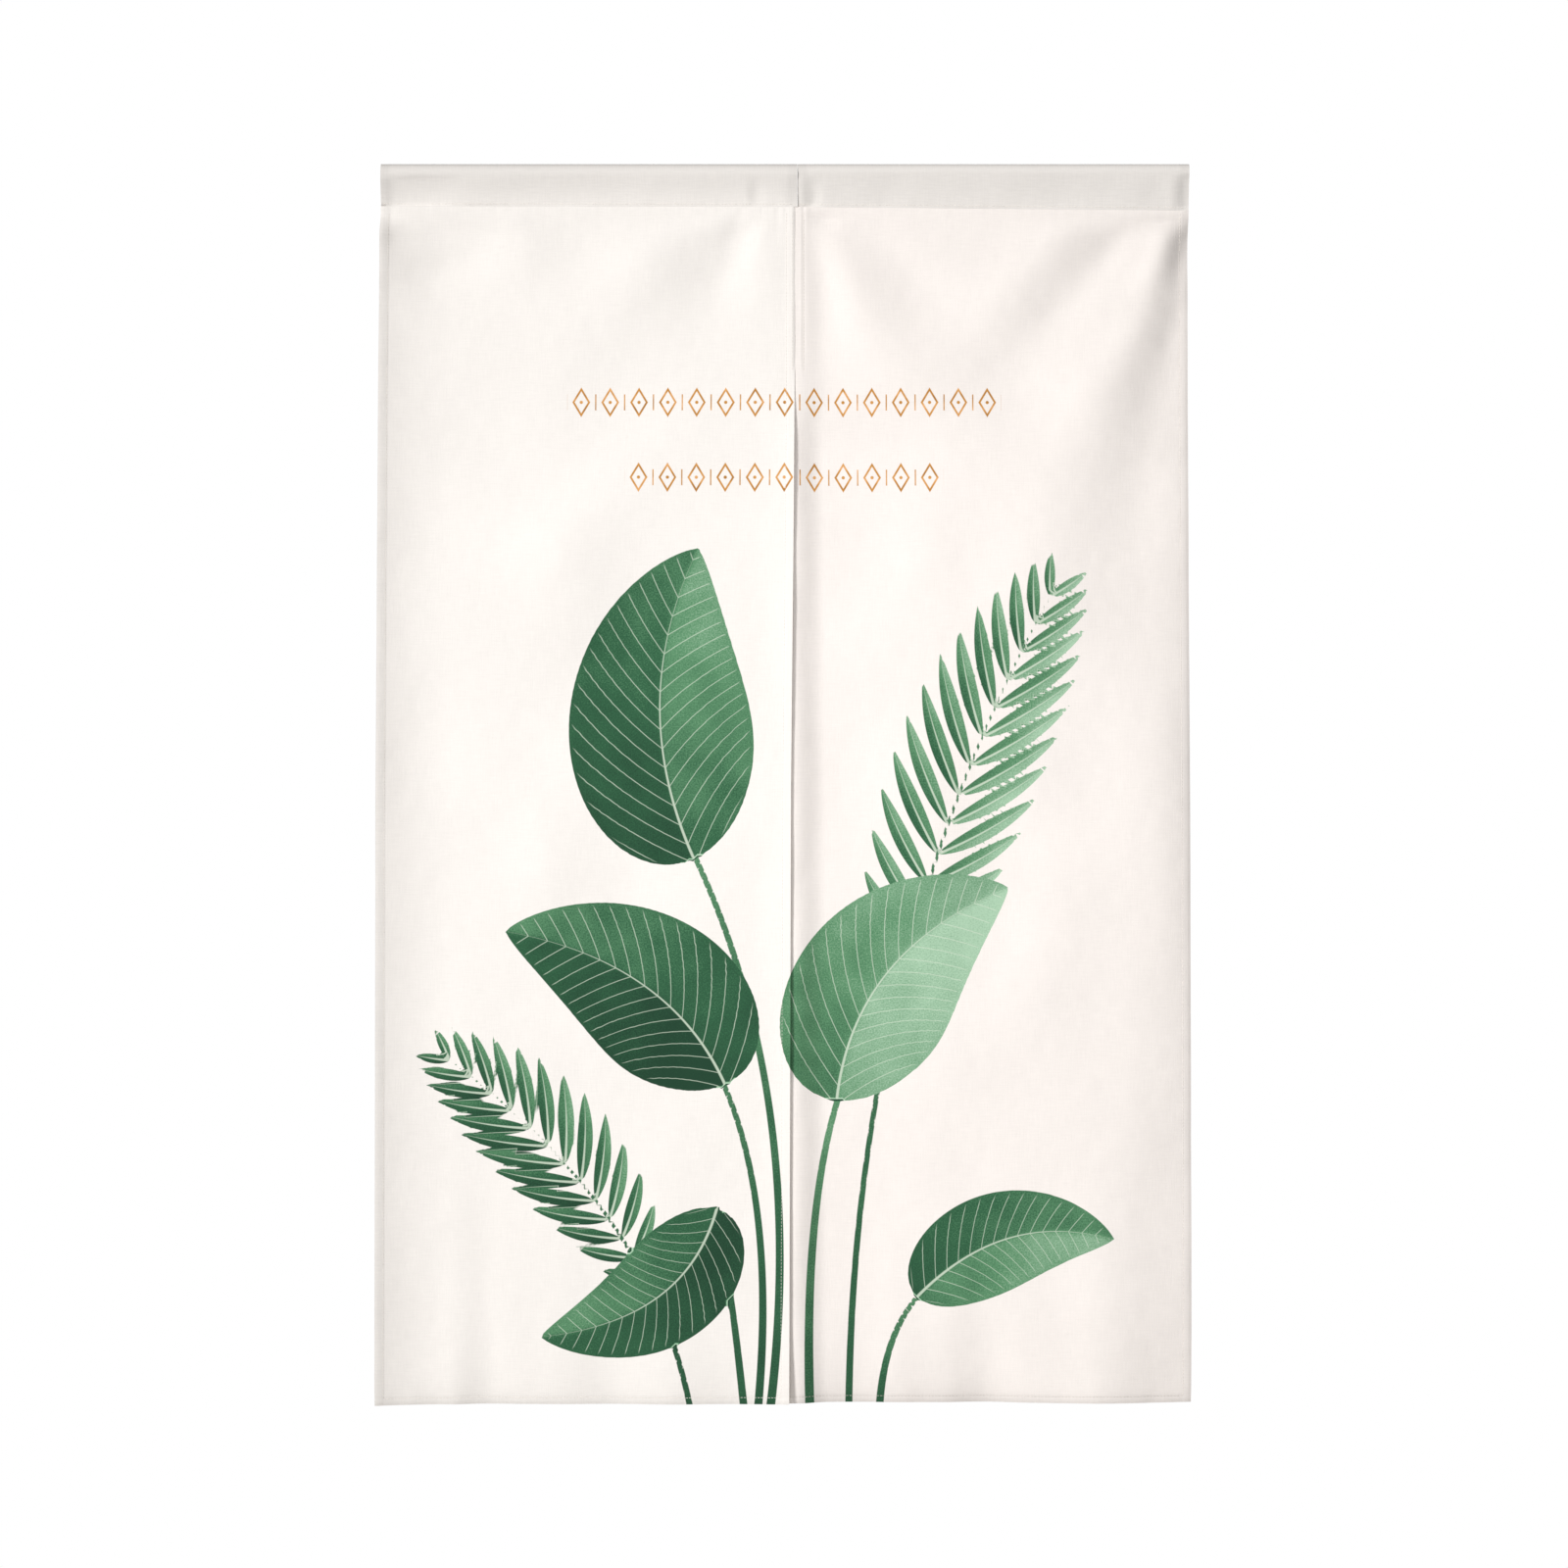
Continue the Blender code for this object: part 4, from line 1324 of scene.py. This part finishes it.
def row_on_surface(surface, start, end, back=0.0):
    """A row of stitches from start to end, two places (u, v) on a surface, lying on its front or back."""
    start, end = np.array(start, float), np.array(end, float)
    run = end - start
    length = np.hypot(*run)
    count = max(int(length / STITCH_PITCH), 1)
    u, v = (start[:, None] + run[:, None] * (np.arange(count) + 0.5) / count)
    ahead = run / length * PROBE
    aside = np.array((-ahead[1], ahead[0]))
    centres = surface(u, v)
    directions = surface(u + ahead[0], v + ahead[1]) - surface(u - ahead[0], v - ahead[1])
    sideways = surface(u + aside[0], v + aside[1]) - surface(u - aside[0], v - aside[1])
    normals = np.cross(directions, sideways)
    normals *= -np.sign(normals[:, 1:2]) / np.linalg.norm(normals, axis=1, keepdims=True)
    directions /= np.linalg.norm(directions, axis=1, keepdims=True)
    if back:
        centres, normals = centres - normals * back, -normals
    return Row(centres, directions, normals)


def sew(name, rows):
    """One mesh of all the stitches of some rows."""
    centres, directions, normals = (np.concatenate(parts) for parts in zip(*rows))
    sideways = np.cross(normals, directions)
    points = (
        centres[:, None]
        + STITCH_POINTS[None, :, 0:1] * directions[:, None]
        + STITCH_POINTS[None, :, 1:2] * sideways[:, None]
        + STITCH_POINTS[None, :, 2:3] * normals[:, None]
    )
    offsets = np.arange(len(centres)) * len(STITCH_POINTS)
    faces = [[int(offset) + index for index in face] for offset in offsets for face in STITCH_FACES]
    mesh = bpy.data.meshes.new(name)
    mesh.from_pydata(points.reshape(-1, 3).tolist(), [], faces)
    print(name, len(centres), "stitches")
    return add_object(name, mesh)


# %% Sewing the panels
def panel_rows_of_stitches(side):
    def surface(across, drop):
        return panel_surface(side, across, drop)

    top, bottom = 47 * MM, CURTAIN_DROP - BOTTOM_STITCH_INSET
    outer, inner = HEM_STITCH_INSET, PANEL_WIDTH - HEM_STITCH_INSET
    rows = []
    for back in (0.0, HEM_THICKNESS):
        rows.append(row_on_surface(surface, (outer, top), (outer, bottom), back))
        rows.append(row_on_surface(surface, (inner, top), (inner, bottom), back))
        rows.append(row_on_surface(surface, (outer, bottom), (inner, bottom), back))
    return rows


def lap_rows_of_stitches():
    """The seam that joins the panels, and its second row on the right panel."""
    edge = PANEL_WIDTH - 2.2 * MM
    second = RIGHT.edge_x - SECOND_SEAM_X

    def left_surface(across, drop):
        return panel_surface(LEFT, across, drop)

    def right_surface(across, drop):
        return panel_surface(RIGHT, across, drop)

    return [
        row_on_surface(left_surface, (edge, 46 * MM), (edge, SLIT_TOP_DROP)),
        row_on_surface(right_surface, (second, 46 * MM), (second, SLIT_TOP_DROP)),
        row_on_surface(right_surface, (second, 46 * MM), (second, SLIT_TOP_DROP), CLOTH_THICKNESS),
    ]


def pocket_rows_of_stitches(pocket):
    def surface(x, above_seam):
        return pocket_surface(pocket, above_seam, x)

    near_seam = 0.022
    ends = ((pocket.start_x + 1.5 * MM, near_seam), (pocket.end_x - 1.5 * MM, near_seam))
    back_ends = ((pocket.start_x + 1.5 * MM, 1 - near_seam), (pocket.end_x - 1.5 * MM, 1 - near_seam))
    front = row_on_surface(surface, *ends)
    back = row_on_surface(surface, *back_ends)
    return [front, Row(back.centres, back.directions, -back.normals)]


left_stitches = sew("left_panel_stitches", panel_rows_of_stitches(LEFT))
right_stitches = sew("right_panel_stitches", panel_rows_of_stitches(RIGHT))
lap_stitches = sew("lap_stitches", lap_rows_of_stitches())
pocket_stitches = sew(
    "pocket_stitches", pocket_rows_of_stitches(LEFT_POCKET) + pocket_rows_of_stitches(RIGHT_POCKET)
)

# %% [markdown]
# Sewing thread is two fine yarns twisted together. Slanting waves along the stitches stand in for the
# twist, since each stitch lies nearly straight. They bump the surface and also darken its colour in
# bands, a painted shade for the grooves between the yarns.

# %% Thread
THREAD_COLOUR = screen_colour(240, 234, 226)
TWIST_PITCH = 0.5 * MM


def thread_material():
    material, shader, start = new_material("sewing_thread")
    place = start.node("ShaderNodeTexCoord", output="Object")
    slant = start.node(
        "ShaderNodeMapping", inputs={"Vector": place, "Scale": (1 / TWIST_PITCH,) * 3}
    )
    bands = {"wave_type": "BANDS", "bands_direction": "DIAGONAL"}
    turns = start.node("ShaderNodeTexWave", bands, {"Vector": slant, "Scale": 0.3})
    shade = start.node("ShaderNodeTexNoise", inputs={"Vector": slant, "Scale": 0.02})
    # Painted shade: the bands of the twist darken the colour; the noise varies its tone.
    colour = (turns * 0.35 + shade * 0.2).blend(THREAD_COLOUR, screen_colour(205, 198, 189))
    feed(start.tree, shader.inputs["Base Color"], colour)
    bump = start.node("ShaderNodeBump", inputs={"Height": turns, "Distance": 0.05 * MM, "Strength": 0.6})
    feed(start.tree, shader.inputs["Normal"], bump)
    shader.inputs["Roughness"].default_value = 0.6
    return material


thread = thread_material()

# %% Dressing the pieces
for cloth, materials in (
    (left_cloth, (printed_left, printed_back)),
    (right_cloth, (printed_right_painted_shade, printed_back)),
    (left_pocket, (heading_cloth, heading_back)),
    (right_pocket, (heading_cloth, heading_back)),
    (left_stitches, (thread,)),
    (right_stitches, (thread,)),
    (lap_stitches, (thread,)),
    (pocket_stitches, (thread,)),
):
    for material in materials:
        cloth.data.materials.append(material)

# %% [markdown]
# ## The floor
#
# A plain pale floor lies well below the curtain, out of the picture. It only shows from above.

# %% The floor
def make_floor():
    bm = bmesh.new()
    bmesh.ops.create_grid(bm, x_segments=1, y_segments=1, size=FLOOR_HALF_WIDTH)
    bmesh.ops.translate(bm, verts=bm.verts, vec=(0, 0, -FLOOR_DROP))
    mesh = bpy.data.meshes.new("floor")
    bm.to_mesh(mesh)
    bm.free()
    floor = bpy.data.objects.new("floor", mesh)
    bpy.context.scene.collection.objects.link(floor)
    material, shader, start = new_material("floor")
    place = start.node("ShaderNodeTexCoord", output="Object")
    cloudy = start.node("ShaderNodeTexNoise", inputs={"Vector": place, "Scale": 3.0, "Detail": 3.0})
    colour = cloudy.blend(screen_colour(226, 224, 221), screen_colour(236, 234, 231))
    feed(start.tree, shader.inputs["Base Color"], colour)
    shader.inputs["Roughness"].default_value = 0.7
    mesh.materials.append(material)


make_floor()

# %% [markdown]
#
# Each sheet replaces its solid, which is hidden, and hangs from the root body. A panel was cut 42 cm
# wide, with a centimetre to turn at each side, and its 1.30 m of length divide at the pocket's seam.

# %% Replacing the solids
PANEL_CUT_LENGTH, POCKET_CUT_LENGTH = 1.18, 0.10

for cloth, node, slot, cut_length, stitches in (
    (left_cloth, "left_panel", "linen", PANEL_CUT_LENGTH, (left_stitches, lap_stitches)),
    (right_cloth, "right_panel", "linen", PANEL_CUT_LENGTH, (right_stitches,)),
    (left_pocket, "left_rod_pocket", "heading_linen", POCKET_CUT_LENGTH, (pocket_stitches,)),
    (right_pocket, "right_rod_pocket", "heading_linen", POCKET_CUT_LENGTH, ()),
):
    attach(cloth, "root")
    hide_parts(node)

for stitches in (left_stitches, right_stitches, lap_stitches):
    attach(stitches, "root")
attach(pocket_stitches, "root")
